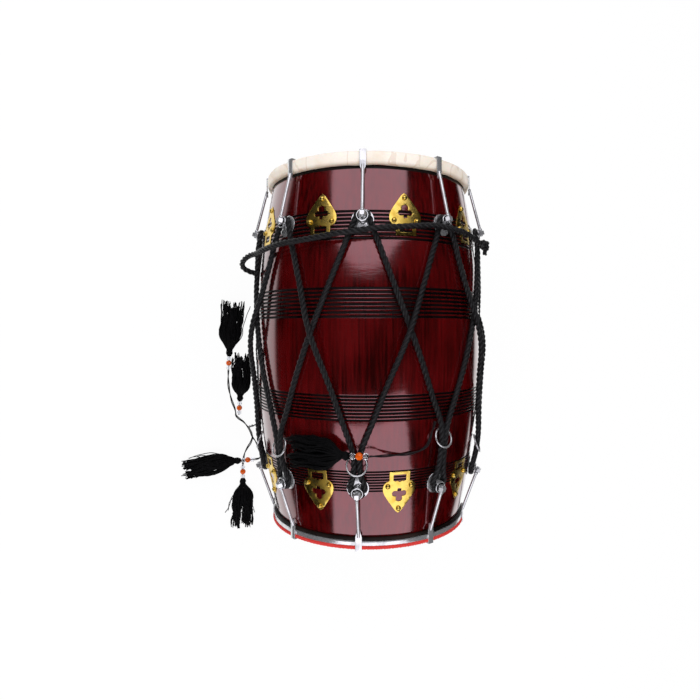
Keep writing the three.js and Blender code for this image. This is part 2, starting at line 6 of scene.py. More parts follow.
import bmesh
import bpy
from mathutils import Matrix, Vector, noise
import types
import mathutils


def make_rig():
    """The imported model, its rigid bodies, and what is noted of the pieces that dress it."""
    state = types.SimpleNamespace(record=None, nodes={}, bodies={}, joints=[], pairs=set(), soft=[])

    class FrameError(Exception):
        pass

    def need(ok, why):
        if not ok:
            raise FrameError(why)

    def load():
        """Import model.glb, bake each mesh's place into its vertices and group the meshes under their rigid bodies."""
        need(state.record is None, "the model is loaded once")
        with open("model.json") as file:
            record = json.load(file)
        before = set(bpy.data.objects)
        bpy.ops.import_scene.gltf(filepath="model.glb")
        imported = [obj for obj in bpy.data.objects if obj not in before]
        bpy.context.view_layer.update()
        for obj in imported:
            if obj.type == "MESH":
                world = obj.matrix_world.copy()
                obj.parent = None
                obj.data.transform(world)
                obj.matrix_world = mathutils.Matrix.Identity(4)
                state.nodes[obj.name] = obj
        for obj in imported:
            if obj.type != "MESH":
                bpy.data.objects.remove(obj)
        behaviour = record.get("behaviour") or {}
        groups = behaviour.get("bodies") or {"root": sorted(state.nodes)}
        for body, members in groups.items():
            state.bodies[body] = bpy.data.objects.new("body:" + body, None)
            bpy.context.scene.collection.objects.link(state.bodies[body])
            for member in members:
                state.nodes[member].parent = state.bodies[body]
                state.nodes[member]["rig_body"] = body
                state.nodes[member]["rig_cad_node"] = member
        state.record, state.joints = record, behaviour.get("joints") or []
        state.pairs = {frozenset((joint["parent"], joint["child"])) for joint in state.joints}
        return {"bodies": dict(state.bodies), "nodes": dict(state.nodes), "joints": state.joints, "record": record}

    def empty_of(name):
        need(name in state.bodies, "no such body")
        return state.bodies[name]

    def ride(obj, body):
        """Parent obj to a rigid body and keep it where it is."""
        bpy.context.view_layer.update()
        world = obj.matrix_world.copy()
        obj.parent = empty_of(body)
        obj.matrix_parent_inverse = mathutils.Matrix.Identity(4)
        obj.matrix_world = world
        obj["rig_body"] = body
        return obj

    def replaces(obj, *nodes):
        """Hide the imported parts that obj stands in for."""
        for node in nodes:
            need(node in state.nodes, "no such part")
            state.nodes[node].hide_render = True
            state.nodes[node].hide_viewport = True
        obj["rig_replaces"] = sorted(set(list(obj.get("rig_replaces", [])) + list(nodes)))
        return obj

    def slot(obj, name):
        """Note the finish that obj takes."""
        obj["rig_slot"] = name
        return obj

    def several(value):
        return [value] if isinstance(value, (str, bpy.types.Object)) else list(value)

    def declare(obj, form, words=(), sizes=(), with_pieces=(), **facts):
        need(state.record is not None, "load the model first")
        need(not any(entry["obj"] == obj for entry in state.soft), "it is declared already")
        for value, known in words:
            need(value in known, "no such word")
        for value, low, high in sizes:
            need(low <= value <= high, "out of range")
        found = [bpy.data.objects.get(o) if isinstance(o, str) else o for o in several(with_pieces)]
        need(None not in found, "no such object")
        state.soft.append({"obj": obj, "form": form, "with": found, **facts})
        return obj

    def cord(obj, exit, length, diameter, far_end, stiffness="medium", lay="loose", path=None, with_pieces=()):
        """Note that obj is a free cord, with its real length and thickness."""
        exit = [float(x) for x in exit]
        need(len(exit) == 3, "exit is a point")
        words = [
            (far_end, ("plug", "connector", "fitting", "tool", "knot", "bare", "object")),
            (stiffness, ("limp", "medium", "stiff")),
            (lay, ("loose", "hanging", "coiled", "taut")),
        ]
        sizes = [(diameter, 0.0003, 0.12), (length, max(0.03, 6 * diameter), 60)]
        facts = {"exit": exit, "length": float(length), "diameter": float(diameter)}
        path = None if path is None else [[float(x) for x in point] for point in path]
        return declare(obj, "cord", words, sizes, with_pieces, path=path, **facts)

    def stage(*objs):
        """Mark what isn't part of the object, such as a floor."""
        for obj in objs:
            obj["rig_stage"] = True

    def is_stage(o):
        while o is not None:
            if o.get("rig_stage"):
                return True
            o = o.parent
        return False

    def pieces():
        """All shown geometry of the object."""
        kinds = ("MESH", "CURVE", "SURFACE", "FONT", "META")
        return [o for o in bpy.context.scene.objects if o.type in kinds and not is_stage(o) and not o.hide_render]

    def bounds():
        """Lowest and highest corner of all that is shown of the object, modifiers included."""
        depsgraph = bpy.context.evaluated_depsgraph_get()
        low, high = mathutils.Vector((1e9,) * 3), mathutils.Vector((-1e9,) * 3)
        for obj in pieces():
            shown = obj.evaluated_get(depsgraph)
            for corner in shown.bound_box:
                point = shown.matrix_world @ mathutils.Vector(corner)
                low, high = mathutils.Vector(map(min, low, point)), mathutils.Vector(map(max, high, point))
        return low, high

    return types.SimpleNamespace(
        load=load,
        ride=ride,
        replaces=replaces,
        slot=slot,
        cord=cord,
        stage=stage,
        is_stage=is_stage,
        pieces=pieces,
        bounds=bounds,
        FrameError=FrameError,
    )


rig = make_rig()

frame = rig.load()
cad_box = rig.bounds()

# Camera: over the drum as it lies on the ground, square to its side and a little above the
# middle of its height. The drum stands along Y in its own frame, and lie is how it is laid down.
rest_spot = (-0.0000893, -0.3112484, 0.2105041)
rest_lean = radians(0.67)
rest_roll = radians(-15.35)
camera_spot = (0, 0.3457, 0.9932)
lie = Matrix.Translation(rest_spot) @ Matrix.Rotation(rest_lean, 4, "X") @ Matrix.Rotation(rest_roll, 4, "Y")


def choose(*pieces):
    """Selects these pieces and nothing else, and makes the first of them active."""
    bpy.ops.object.select_all(action="DESELECT")
    for piece in pieces:
        piece.select_set(True)
    if pieces:
        bpy.context.view_layer.objects.active = pieces[0]


choose()
bpy.ops.object.camera_add()
camera = bpy.context.object
camera.matrix_world = lie @ Matrix.Translation(camera_spot)
camera.data.lens = 27.08
camera.data.shift_x = -0.0259
camera.data.shift_y = -0.0299
bpy.context.scene.camera = camera
bpy.context.scene.view_settings.view_transform = "Standard"

# Strap: the long end of the lacing rope, three twisted strands of soft black cotton. It is wound
# across the front under the top hooks, tied off with a knot at the right, and at the left it makes
# an open loop and is tucked in beside the lacing.
rope_radius = 0.005
rope_lay = 0.028
strand_radius = rope_radius / 2
rope_step = 0.0025
knot_steps = 48
knot_inset = 0.004
knot_loop = 0.0025
knot_depth = 0.0042
knot_radius = 0.0036
knot_lay = 0.02
knot_strand = 0.002
tail_radius = 0.0042
tail_places = [(0.005, 0), (0.009, 0.001), (0.013, 0.001), (0.016, 0)]
strap_route = [
    (0.1799, 0.1793, 0.337), (0.1579, 0.178, 0.3603), (0.1381, 0.1825, 0.3773), (0.1127, 0.1872, 0.3958),
    (0.0816, 0.1894, 0.4121), (0.0514, 0.1913, 0.4206), (0.0215, 0.1889, 0.4236),
    (-0.0057, 0.1856, 0.4253), (-0.032, 0.1836, 0.4259), (-0.0665, 0.179, 0.4188),
    (-0.0956, 0.1761, 0.4066), (-0.1269, 0.1719, 0.3841), (-0.1511, 0.169, 0.3657),
    (-0.1759, 0.1674, 0.3399), (-0.1995, 0.164, 0.2944), (-0.2104, 0.1625, 0.2544),
    (-0.218, 0.1622, 0.239), (-0.2262, 0.158, 0.225), (-0.2311, 0.1513, 0.2125),
    (-0.2288, 0.1446, 0.2033), (-0.2215, 0.1402, 0.1983), (-0.2125, 0.1373, 0.1962),
    (-0.2038, 0.1346, 0.1952),
]


def smooth_line(places, step):
    """Points about a step apart on a smooth curve through the places."""
    places = [Vector(place) for place in places]
    ends = [2 * places[0] - places[1], *places, 2 * places[-1] - places[-2]]
    line = []
    for a, b, c, d in zip(ends, ends[1:], ends[2:], ends[3:]):
        before, along, after = (sqrt((q - p).length) for p, q in ((a, b), (b, c), (c, d)))
        leave = (c - b) + along * ((b - a) / before - (c - a) / (before + along))
        arrive = (c - b) + along * ((d - c) / after - (d - b) / (along + after))
        parts = max(1, round((c - b).length / step))
        for part in range(parts):
            t = part / parts
            line.append(b * (2 * t**3 - 3 * t**2 + 1) + leave * (t**3 - 2 * t**2 + t)
                        + c * (3 * t**2 - 2 * t**3) + arrive * (t**3 - t**2))
    return [*line, places[-1]]


def stations(line):
    """The points of a line, each with its distance along it and two ways across that don't twist."""
    ways = [(b - a).normalized() for a, b in zip([line[0], *line[:-1]], [*line[1:], line[-1]])]
    across = ways[0].orthogonal().normalized()
    distance = 0
    found = []
    for before, place, way in zip([line[0], *line], line, ways):
        distance += (place - before).length
        across = (across - way * across.dot(way)).normalized()
        found.append((place, distance, across, way.cross(across)))
    return found


def twisted(line, radius, lay, strands=3, share=0.5):
    """The middle lines of the strands of a rope of that radius, laid up round its own line."""
    laid = []
    for strand in range(strands):
        middle = []
        for place, distance, across, up in stations(line):
            turn = tau * (distance / lay + strand / strands)
            middle.append(place + (across * cos(turn) + up * sin(turn)) * radius * share)
        laid.append(middle)
    return laid


def tubes(name, lines, radius, sides):
    """One mesh of round closed tubes that follow lines, with a UV map round and along each tube."""
    points, faces, corners = [], [], []
    for line in lines:
        first = len(points)
        lengths = []
        for place, distance, across, up in stations(line):
            lengths.append(distance)
            for side in range(sides):
                turn = tau * side / sides
                points.append(place + (across * cos(turn) + up * sin(turn)) * radius)
        for ring, (near, far) in enumerate(zip(lengths, lengths[1:])):
            for side in range(sides):
                a = first + ring * sides + side
                b = first + ring * sides + (side + 1) % sides
                faces.append((a, b, b + sides, a + sides))
                u, v = side / sides, (side + 1) / sides
                corners += [(u, near), (v, near), (v, far), (u, far)]
        last = first + (len(line) - 1) * sides
        faces.append(tuple(range(first + sides - 1, first - 1, -1)))
        faces.append(tuple(range(last, last + sides)))
        corners += [(0, 0)] * (2 * sides)
    mesh = bpy.data.meshes.new(name)
    mesh.from_pydata(points, [], faces)
    mesh.uv_layers.new(name="UVMap").data.foreach_set("uv", [x for corner in corners for x in corner])
    mesh.polygons.foreach_set("use_smooth", [True] * len(faces))
    made = bpy.data.objects.new(name, mesh)
    bpy.context.collection.objects.link(made)
    return made


def node(tree, kind, sockets=None, **settings):
    """Adds a shader node. A socket that is given another node's output is linked to it."""
    made = tree.nodes.new("ShaderNode" + kind)
    for setting, value in settings.items():
        setattr(made, setting, value)
    for socket, value in (sockets or {}).items():
        if isinstance(value, bpy.types.NodeSocket):
            tree.links.new(value, made.inputs[socket])
        else:
            made.inputs[socket].default_value = value
    return made


def blend(tree, share, one, other):
    """Two colours, mixed by a share."""
    return node(tree, "Mix", {0: share, 6: one, 7: other}, data_type="RGBA").outputs[2]


def own_place(tree):
    """The place on a piece, in its own frame."""
    return node(tree, "TexCoord").outputs["Object"]


def cloud(tree, spot, scale, detail=2.0):
    """The value of an uneven pattern at a spot."""
    return node(tree, "TexNoise", {"Vector": spot, "Scale": scale, "Detail": detail}).outputs[0]


def calculate(tree, operation, *values):
    """The result of a sum with one to three values."""
    return node(tree, "Math", dict(enumerate(values)), operation=operation).outputs[0]


def stretch(tree, value, *limits, **settings):
    """A value stretched from one range to another. The limits are the ends of both ranges."""
    return node(tree, "MapRange", {"Value": value, **dict(enumerate(limits, 1))}, **settings).outputs[0]


def material(name, **plain):
    """A material with its shader's plain values, and the shader's own node."""
    made = bpy.data.materials.new(name)
    made.use_nodes = True
    shader = made.node_tree.nodes["Principled BSDF"]
    for socket, value in plain.items():
        shader.inputs[socket.replace("_", " ")].default_value = value
    return made, made.node_tree, shader


def effect(name, takes, gives):
    """An empty group with named inputs and outputs, and the sockets inside it."""
    tree = bpy.data.node_groups.new(name, "ShaderNodeTree")
    for socket, kind in takes.items():
        tree.interface.new_socket(socket, in_out="INPUT", socket_type="NodeSocket" + kind)
    for socket, kind in gives.items():
        tree.interface.new_socket(socket, in_out="OUTPUT", socket_type="NodeSocket" + kind)
    return tree, tree.nodes.new("NodeGroupInput").outputs, tree.nodes.new("NodeGroupOutput").inputs


def bump(tree, height, strength, distance):
    """The normals of a surface that is raised by a height."""
    values = {"Height": height, "Strength": strength, "Distance": distance}
    return node(tree, "Bump", values).outputs["Normal"]


def feed(shader, **sockets):
    """Links node outputs to the shader."""
    for socket, value in sockets.items():
        shader.id_data.links.new(value, shader.inputs[socket.replace("_", " ")])


# The fibre effect: fine threads that run along a strand and catch the light unevenly
fibre, takes, gives = effect(
    "fibre",
    {"Colour": "Color", "Lit Colour": "Color", "Round": "Float", "Along": "Float"},
    {"Colour": "Color", "Height": "Float"},
)
place = node(fibre, "SeparateXYZ", {0: node(fibre, "TexCoord").outputs["UV"]}).outputs
turn = calculate(fibre, "MULTIPLY", place["X"], tau)
across = calculate(fibre, "MULTIPLY", calculate(fibre, "COSINE", turn), takes["Round"])
up = calculate(fibre, "MULTIPLY", calculate(fibre, "SINE", turn), takes["Round"])
along = calculate(fibre, "MULTIPLY", place["Y"], takes["Along"])
threads = cloud(fibre, node(fibre, "CombineXYZ", {0: across, 1: up, 2: along}).outputs[0], 1.0)
fibre.links.new(blend(fibre, threads, takes["Colour"], takes["Lit Colour"]), gives["Colour"])
fibre.links.new(threads, gives["Height"])


def fibrous(name, colour, lit, around, along, strength, **plain):
    """A material of spun fibre for tubes with a UV map."""
    made, tree, shader = material(name, **plain)
    values = {"Colour": (*colour, 1), "Lit Colour": (*lit, 1), "Round": around, "Along": along}
    threads = node(tree, "Group", values, node_tree=fibre).outputs
    feed(shader, Base_Color=threads["Colour"], Normal=bump(tree, threads["Height"], strength, 0.0006))
    return made


black_rope = fibrous("black_cotton_rope", (0.001, 0.001, 0.001), (0.015, 0.015, 0.016), 3.2, 500, 1.0,
                     Roughness=0.38, Specular_IOR_Level=0.34)


def press_on_floor(piece, clearance=0.0001):
    """Flattens what would sink into the floor, as a soft thing flattens where it bears."""
    for vertex in piece.data.vertices:
        vertex.co.z = max(vertex.co.z, clearance)


def ready(piece, finish, body, slot, *stands_for):
    """Makes a piece part of the drum: its material, its body, its slot and what it stands for."""
    if finish:
        piece.data.materials.append(finish)
    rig.ride(piece, body)
    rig.slot(piece, slot)
    if stands_for:
        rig.replaces(piece, *stands_for)


strap_line = smooth_line(strap_route, rope_step)
strap = tubes("strap", twisted(strap_line, rope_radius, rope_lay), strand_radius, 8)
ready(strap, black_rope, "drum", "black_rope", "strap_rope")

knot_way = (strap_line[0] - strap_line[6]).normalized()
knot_middle = strap_line[0] - knot_way * knot_inset
knot_side = knot_way.cross(Vector((0, 1, 0))).normalized()
knot_up = knot_side.cross(knot_way)
knot_route = []
for step in range(knot_steps + 1):
    turn = tau * step / knot_steps
    wide = (2 + cos(3 * turn)) * knot_loop
    flat = knot_way * (wide * cos(2 * turn)) + knot_up * (wide * sin(2 * turn))
    knot_route.append(knot_middle + flat + knot_side * (sin(3 * turn) * knot_depth))
tail_route = [knot_middle - knot_up * down + knot_way * out for down, out in tail_places]
knot_lines = twisted(knot_route, knot_radius, knot_lay)
knot_lines += twisted(smooth_line(tail_route, rope_step), tail_radius, rope_lay)
strap_knot = tubes("strap_knot", knot_lines, knot_strand, 8)
ready(strap_knot, black_rope, "drum", "black_rope")
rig.cord(strap, exit=strap_line[0], length=0.586, diameter=0.01, far_end="knot", stiffness="limp", lay="loose",
        path=strap_line, with_pieces=[strap_knot])

# Garland: two thin black threads twisted together, tied to the lacing and hung with tassels.
# One length crosses the front; another hangs down the left side and forks on the ground.
thread_radius = 0.00175
thread_lay = 0.08
thread_step = 0.0022
twist_share = 0.7
thread_strand_share = 0.62
garland_routes = {
    "garland_front_cord": [
        (0.0534, -0.1106, 0.4118), (0.0489, -0.1236, 0.4113), (0.0455, -0.1376, 0.4093),
        (0.0409, -0.148, 0.4077), (0.0312, -0.155, 0.4068), (0.0192, -0.158, 0.4077),
        (0.0073, -0.1593, 0.4084), (-0.0047, -0.1596, 0.4088), (-0.0158, -0.1593, 0.4102),
        (-0.0267, -0.1586, 0.413), (-0.0375, -0.1577, 0.4169), (-0.047, -0.1567, 0.4197),
        (-0.0549, -0.1564, 0.4199),
    ],
    "garland_hanging_cord": [
        (-0.2086, -0.141, 0.1864), (-0.2126, -0.15, 0.14), (-0.214, -0.16, 0.09), (-0.211, -0.174, 0.045),
        (-0.205, -0.187, 0.014), (-0.203, -0.197, 0.0034), (-0.206, -0.208, 0.0024),
        (-0.213, -0.219, 0.0024), (-0.219, -0.231, 0.0024), (-0.222, -0.245, 0.0026),
        (-0.223, -0.254, 0.0063),
    ],
    "garland_long_cord": [
        (-0.2033, -0.195, 0.005), (-0.207, -0.184, 0.0028), (-0.213, -0.174, 0.0024),
        (-0.222, -0.163, 0.0024), (-0.232, -0.155, 0.003), (-0.2375, -0.148, 0.0052),
        (-0.238, -0.142, 0.0063), (-0.24, -0.133, 0.0045), (-0.246, -0.117, 0.0024),
        (-0.252, -0.09, 0.0024), (-0.2535, -0.068, 0.0026), (-0.253, -0.051, 0.0063),
    ],
    "garland_short_cord": [
        (-0.203, -0.197, 0.0034), (-0.196, -0.207, 0.0024), (-0.19, -0.221, 0.0024),
        (-0.1855, -0.235, 0.0044), (-0.188, -0.242, 0.0084), (-0.1975, -0.2434, 0.0108),
    ],
}
black_thread = fibrous("black_garland_thread", (0.002, 0.002, 0.0024), (0.01, 0.01, 0.011), 2.0, 700, 0.7,
                       Roughness=0.5, Specular_IOR_Level=0.3)
garland_lines = {name: smooth_line(route, thread_step) for name, route in garland_routes.items()}
for name, line in garland_lines.items():
    threads = twisted(line, thread_radius, thread_lay, strands=2, share=twist_share)
    cord = tubes(name, threads, thread_radius * thread_strand_share, 7)
    press_on_floor(cord)
    ready(cord, black_thread, "drum", "black_yarn", "garland_front" if "front" in name else "garland_left")

# Tassels: on a thread two clear cut beads with an orange one between, then a bound neck, a round
# head and a full skirt of soft black yarn, a little ragged at its ends.
clear_bead = 0.005
orange_bead = 0.006
bead_bore = 0.0012
bead_pitch = 0.0098
bead_room = 0.0056
bead_gap = 0.0003
shell_gap = 0.0006
neck_start = bead_pitch * 5 / 2
neck = [(0, 0.0035), (0.003, 0.006), (0.0075, 0.0066), (0.012, 0.0042), (0.0165, 0.0085)]
tie_radius = 0.0046
tie_start = 0.0103
tie_length = 0.0036
tie_thread = 0.0008
tie_turns = 6
tie_steps = 12
head_start = 0.0325
head_end = 0.0445
head_overlap = 0.006
skirt_shares = [0.345, 0.38, 0.44, 0.52, 0.66, 0.86, 1.02]
skirt_width_shares = [0.5, 0.72, 0.9, 0.98, 0.97, 0.93, 0.9]
strand_count = 220
strand_steps = 18
strand_turn = 2.39996
turn_spread = 0.04
reach_spread_shares = (-0.07, 0.02)
depth_spread_shares = (0.92, 1.0)
strand_depth_shares = [1.0, 0.95, 0.75, 0.5]
yarn_radius = 0.00095
yarn_bed = 0.0009
lock_count = 13
lock_reach_shares = (0.87, 1.02)
lock_gather_share = 0.42
lock_wave = 0.0019
lock_waves = 11
lock_lean = 0.0035
strand_wave = 0.0009
strand_waves = 19
stray_every = 15
stray_lift = 0.0006
stray_lean = (0.006, 0.013)
stray_short_share = 0.12
tassel_columns = ("cord", "length", "width", "thickness", "heading", "bend", "ragged")
tassels = [SimpleNamespace(**dict(zip(tassel_columns, values))) for values in (
    ("garland_long_cord", 0.142, 0.045, 0.026, -3, 0.003, 1),
    ("garland_long_cord", 0.124, 0.04, 0.024, -4, 0, 0.8),
    ("garland_short_cord", 0.143, 0.042, 0.022, 92, -0.009, 1),
    ("garland_hanging_cord", 0.124, 0.043, 0.024, 180, 0.002, 2.2),
    ("garland_front_cord", 0.135, 0.05, 0.024, 90, -0.002, 0.8),
)]
belly_radius = 0.205
belly_height = 0.327
barrel_curve = 1.316


def shell_radius(height):
    """The barrel's radius at a height up the drum."""
    return belly_radius - (height - belly_height) ** 2 / (2 * barrel_curve)


def ease(value, start, end):
    """0 before start, 1 after end, and a smooth step between."""
    share = min(max((value - start) / (end - start), 0), 1)
    return share * share * (3 - 2 * share)


def mixed(a, b, share):
    """The value a share of the way from a to b."""
    return a + (b - a) * share


def skirt_reach(tassel, along):
    """Half the tassel's width at a distance along it."""
    outline = [(neck_start + reach, radius) for reach, radius in neck]
    for share, width in zip(skirt_shares, skirt_width_shares):
        outline.append((share * tassel.length, width * tassel.width / 2))
    for (a, one), (b, other) in zip(outline, outline[1:]):
        if along <= b:
            return mixed(one, other, ease(along, a, b))
    return outline[-1][1]


def laid_down(tassel, point, widest):
    """A point of the yarn, flattened so that its underside is level with the beads'."""
    flat = 1 + (tassel.thickness / tassel.width - 1) * ease(point.y, neck_start, head_end)
    fall = tassel.drop * ease(point.y, head_start, tassel.length / 2)
    return Vector((point.x, point.y, point.z * flat + widest * flat - orange_bead - fall))


def settle(tassel, point):
    """Where a point of a tassel lies. One on the drum goes on round it instead of straight ahead."""
    wrap = tassel.wrap
    if wrap:
        turn = point.y / wrap
        reach = wrap + point.z
        point = Vector((point.x, reach * sin(turn), reach * cos(turn) - wrap))
    return tassel.spot @ point


def pick(passes):
    """Selects the faces that pass a test in the mesh that is being edited, and nothing else."""
    bpy.ops.mesh.select_mode(type="FACE")
    bpy.ops.mesh.select_all(action="DESELECT")
    edited = bmesh.from_edit_mesh(bpy.context.object.data)
    for face in edited.faces:
        if passes(face):
            face.select_set(True)
    edited.select_flush_mode()
    bmesh.update_edit_mesh(bpy.context.object.data)


def turned(name, outline, steps, axis="Y"):
    """Turns an outline of (radius, height) points on a lathe, from one point drawn on and on."""
    spot = {"Y": lambda r, h: Vector((r, h, 0)), "Z": lambda r, h: Vector((r, 0, h))}[axis]
    points = [spot(*point) for point in outline]
    choose()
    bpy.ops.mesh.primitive_plane_add(size=0.001, location=(0, 0, 0))
    made = bpy.context.object
    bpy.ops.object.mode_set(mode="EDIT")
    bpy.ops.mesh.select_mode(type="VERT")
    bpy.ops.mesh.select_all(action="SELECT")
    bpy.ops.mesh.merge(type="CENTER")
    bpy.ops.transform.translate(value=points[0])
    for before, after in zip(points, points[1:]):
        bpy.ops.mesh.extrude_region_move(TRANSFORM_OT_translate={"value": after - before})
    bpy.ops.mesh.select_all(action="SELECT")
    bpy.ops.mesh.spin(steps=steps, angle=tau, center=(0, 0, 0), axis=spot(0, 1))
    bpy.ops.mesh.select_all(action="SELECT")
    bpy.ops.mesh.remove_doubles(threshold=0.000002)
    bpy.ops.mesh.normals_make_consistent(inside=False)
    bpy.ops.object.mode_set(mode="OBJECT")
    made.name = made.data.name = name
    return made


def joined(name, parts):
    """One piece made of one or several."""
    choose(*parts)
    if len(parts) > 1:
        bpy.ops.object.join()
    parts[0].name = parts[0].data.name = name
    return parts[0]


def bead(name, radius, place):
    """A cut bead with a hole through it, at its place in the row on the thread."""
    start = acos(bead_bore / radius)
    angles = [-start + 2 * start * facet / 6 for facet in range(7)]
    outline = [(radius * cos(angle), radius * sin(angle)) for angle in angles]
    made = turned(name, [*outline, outline[0]], 10)
    made.data.transform(Matrix.Translation((0, place * bead_pitch, 0)))
    return made


def glass(name, scale, bright, dull, **plain):
    """A glass with a little dust on it."""
    made, tree, shader = material(name, **plain)
    feed(shader, Base_Color=blend(tree, cloud(tree, own_place(tree), scale), bright, dull))
    return made


def place_tassel(number, tassel):
    """Finds a tassel's place at its cord's end. The second is beside its cord, the fifth on the drum."""
    line = garland_lines[tassel.cord]
    heading = radians(tassel.heading)
    faced = Matrix.Rotation(heading, 4, "Z")
    tassel.drop = tassel.wrap = 0
    if number == 5:
        end = lie.inverted() @ line[-1]
        wrap = hypot(end.x, end.z)
        tassel.wrap = wrap
        tassel.drop = wrap - orange_bead - shell_gap - shell_radius(end.y)
        spot = lie @ Matrix.Rotation(atan2(end.x, end.z) - bead_room / wrap, 4, "Y")
        tassel.spot = spot @ Matrix.Translation((0, end.y, wrap)) @ faced
    elif number == 2:
        beside = Vector(garland_routes["garland_long_cord"][6])
        beside += Vector((thread_radius + bead_gap + clear_bead, 0, 0))
        tassel.spot = Matrix.Translation(beside) @ faced
    else:
        along = Vector((-sin(heading), cos(heading), 0))
        tassel.spot = Matrix.Translation(line[-1] + along * bead_room) @ faced


def strand_line(tassel, dice, strand, locks):
    """One strand of the skirt. Its lock draws it aside, and a stray one ends up flat on its own."""
    turn = (strand_turn * strand + dice.uniform(-turn_spread, turn_spread)) % tau
    depth = strand_depth_shares[strand % 4] * dice.uniform(*depth_spread_shares)
    place = int(turn / tau * lock_count)
    lock = locks[place]
    gather = tau * (place + 0.5) / lock_count - turn
    stray = strand % stray_every == 0
    long, ragged = tassel.length, tassel.ragged
    reach = lock.reach + dice.uniform(*reach_spread_shares) - stray_short_share * stray * ragged / 2
    reach *= long
    sway = dice.uniform(0, tau)
    side = dice.choice((-1, 1))
    lean = lock_lean * lock.lean + stray * side * dice.uniform(*stray_lean) * ragged
    line = []
    for step in range(strand_steps):
        share = step / (strand_steps - 1)
        y = mixed(neck_start, reach, share)
        half = skirt_reach(tassel, y)
        loose = ease(y, head_end - head_overlap, long)
        wave = lock_wave * sin(lock.sway + share * lock_waves)
        wave += strand_wave * sin(sway + share * strand_waves)
        aim = turn + gather * lock_gather_share * loose
        across = half * depth * cos(aim) + wave * min(loose * 3, 1) + lean * loose ** 1.4
        up = half * depth * sin(aim) + 0.4 * wave * loose
        point = laid_down(tassel, Vector((across, y, up)), half)
        bed = yarn_bed - orange_bead - tassel.drop * ease(y, head_start, long / 2)
        if stray:
            point.z += (bed + stray_lift - point.z) * min(loose * 1.6, 1)
        point.x += tassel.bend * (share * share - 0.35 * share) * 1.5
        point.z = max(point.z, bed)
        line.append(settle(tassel, point))
    return line


clear_glass = glass("clear_cut_glass", 900.0, (0.95, 0.96, 1, 1), (0.8, 0.82, 0.88, 1),
                    Roughness=0.03, IOR=1.52, Transmission_Weight=1.0)
orange_glass = glass("orange_glass", 300.0, (0.95, 0.2, 0.01, 1), (0.6, 0.05, 0.005, 1),
                     Roughness=0.06, IOR=1.5, Transmission_Weight=0.35)
black_yarn = fibrous("black_tassel_yarn", (0.0006, 0.0006, 0.0008), (0.004, 0.004, 0.0045), 1.6, 900, 0.8,
                     Roughness=0.6, Specular_IOR_Level=0.12)
bead_kinds = (("clear", clear_bead, (0, 2), clear_glass), ("orange", orange_bead, (1,), orange_glass))
for number, tassel in enumerate(tassels, 1):
    dice = random.Random(number)
    body = f"tassel_{number}"
    place_tassel(number, tassel)
    tassel.beads = []
    for kind, radius, places, finish in bead_kinds:
        name = f"{kind}_beads_{number}"
        beads = joined(name, [bead(name, radius, place) for place in places])
        for vertex in beads.data.vertices:
            vertex.co = settle(tassel, vertex.co)
        ready(beads, finish, body, f"{kind}_bead")
        tassel.beads.append(beads)
    binding = []
    for step in range(tie_turns * tie_steps + 1):
        turn = tau * step / tie_steps
        y = neck_start + tie_start + step / (tie_turns * tie_steps) * tie_length
        point = Vector((tie_radius * cos(turn), y, tie_radius * sin(turn)))
        binding.append(settle(tassel, laid_down(tassel, point, tie_radius)))
    locks = []
    for _ in range(lock_count):
        locks.append(SimpleNamespace(reach=dice.uniform(*lock_reach_shares), sway=dice.uniform(0, tau),
                                     lean=dice.uniform(-1, 1)))
    lines = [[settle(tassel, Vector((0, millimetres / 1000, 0))) for millimetres in range(-5, 26, 3)]]
    lines += [strand_line(tassel, dice, strand, locks) for strand in range(strand_count)]
    yarn = tubes(f"yarn_{body}", lines, yarn_radius, 4)
    yarn = joined(f"yarn_{body}", [yarn, tubes("neck_binding", [binding], tie_thread, 5)])
    press_on_floor(yarn)
    ready(yarn, black_yarn, body, "black_yarn", body)

for name, length in (("garland_front_cord", 0.14), ("garland_hanging_cord", 0.257),
                     ("garland_long_cord", 0.16), ("garland_short_cord", 0.061)):
    on_it = [piece for tassel in tassels if tassel.cord == name for piece in tassel.beads]
    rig.cord(bpy.data.objects[name], exit=garland_lines[name][0], length=length, diameter=0.0035,
            far_end="knot", stiffness="limp", lay="hanging" if "hanging" in name else "loose",
            path=garland_lines[name], with_pieces=on_it)

# Shell: one block of turned hardwood, stained and varnished to a deep red gloss. Four bands of
# round beads are cut in it on the lathe, and their grooves are black. A black band just under the
# head is painted shade, where the lap of the skin overhangs the shell.
shell_foot = 0.0039
shell_head = 0.6175
shell_wall = 0.009
shell_steps = 144
outline_step = 0.011
wall_steps = 10
# Painted shade: the band of shell just under the head's lap is painted black, where the overhanging lap shades it.
lap_shade_band = (0.5945, 0.6)
bands = [(0.11201, 0.035), (0.22602, 0.042), (0.38601, 0.049), (0.505, 0.048)]
band_grooves = 8
groove_depth = 0.0012
grain_share = 0.52
painted_depth = 0.002
groove_shares = [(0.18, 0.04), (0.3, 0.2), (0.37, 0.65), (0.5, 1),
                 (0.63, 0.65), (0.7, 0.2), (0.82, 0.04), (1, 0)]


def climb(start, end):
    """Points up the plain barrel from start to end, leaving out the last."""
    parts = max(1, ceil((end - start) / outline_step))
    heights = [mixed(start, end, part / parts) for part in range(parts)]
    return [(shell_radius(height), height) for height in heights]


shell_outline = []
below = shell_foot
for middle, width in bands:
    shell_outline += climb(below, middle - width / 2)
    below = middle - width / 2
    shell_outline.append((shell_radius(below), below))
    for groove in range(band_grooves):
        for share, depth in groove_shares:
            height = below + width / band_grooves * share
            shell_outline.append((shell_radius(height) - groove_depth * depth, height))
        below += width / band_grooves
    shell_outline.pop()
for start, end in ((below, lap_shade_band[0]), lap_shade_band, (lap_shade_band[1], shell_head)):
    shell_outline += climb(start, end)
shell_outline.append((shell_radius(shell_head), shell_head))
for part in range(wall_steps + 1):
    height = mixed(shell_head, shell_foot, part / wall_steps)
    shell_outline.append((shell_radius(height) - shell_wall, height))
shell_outline.append(shell_outline[0])


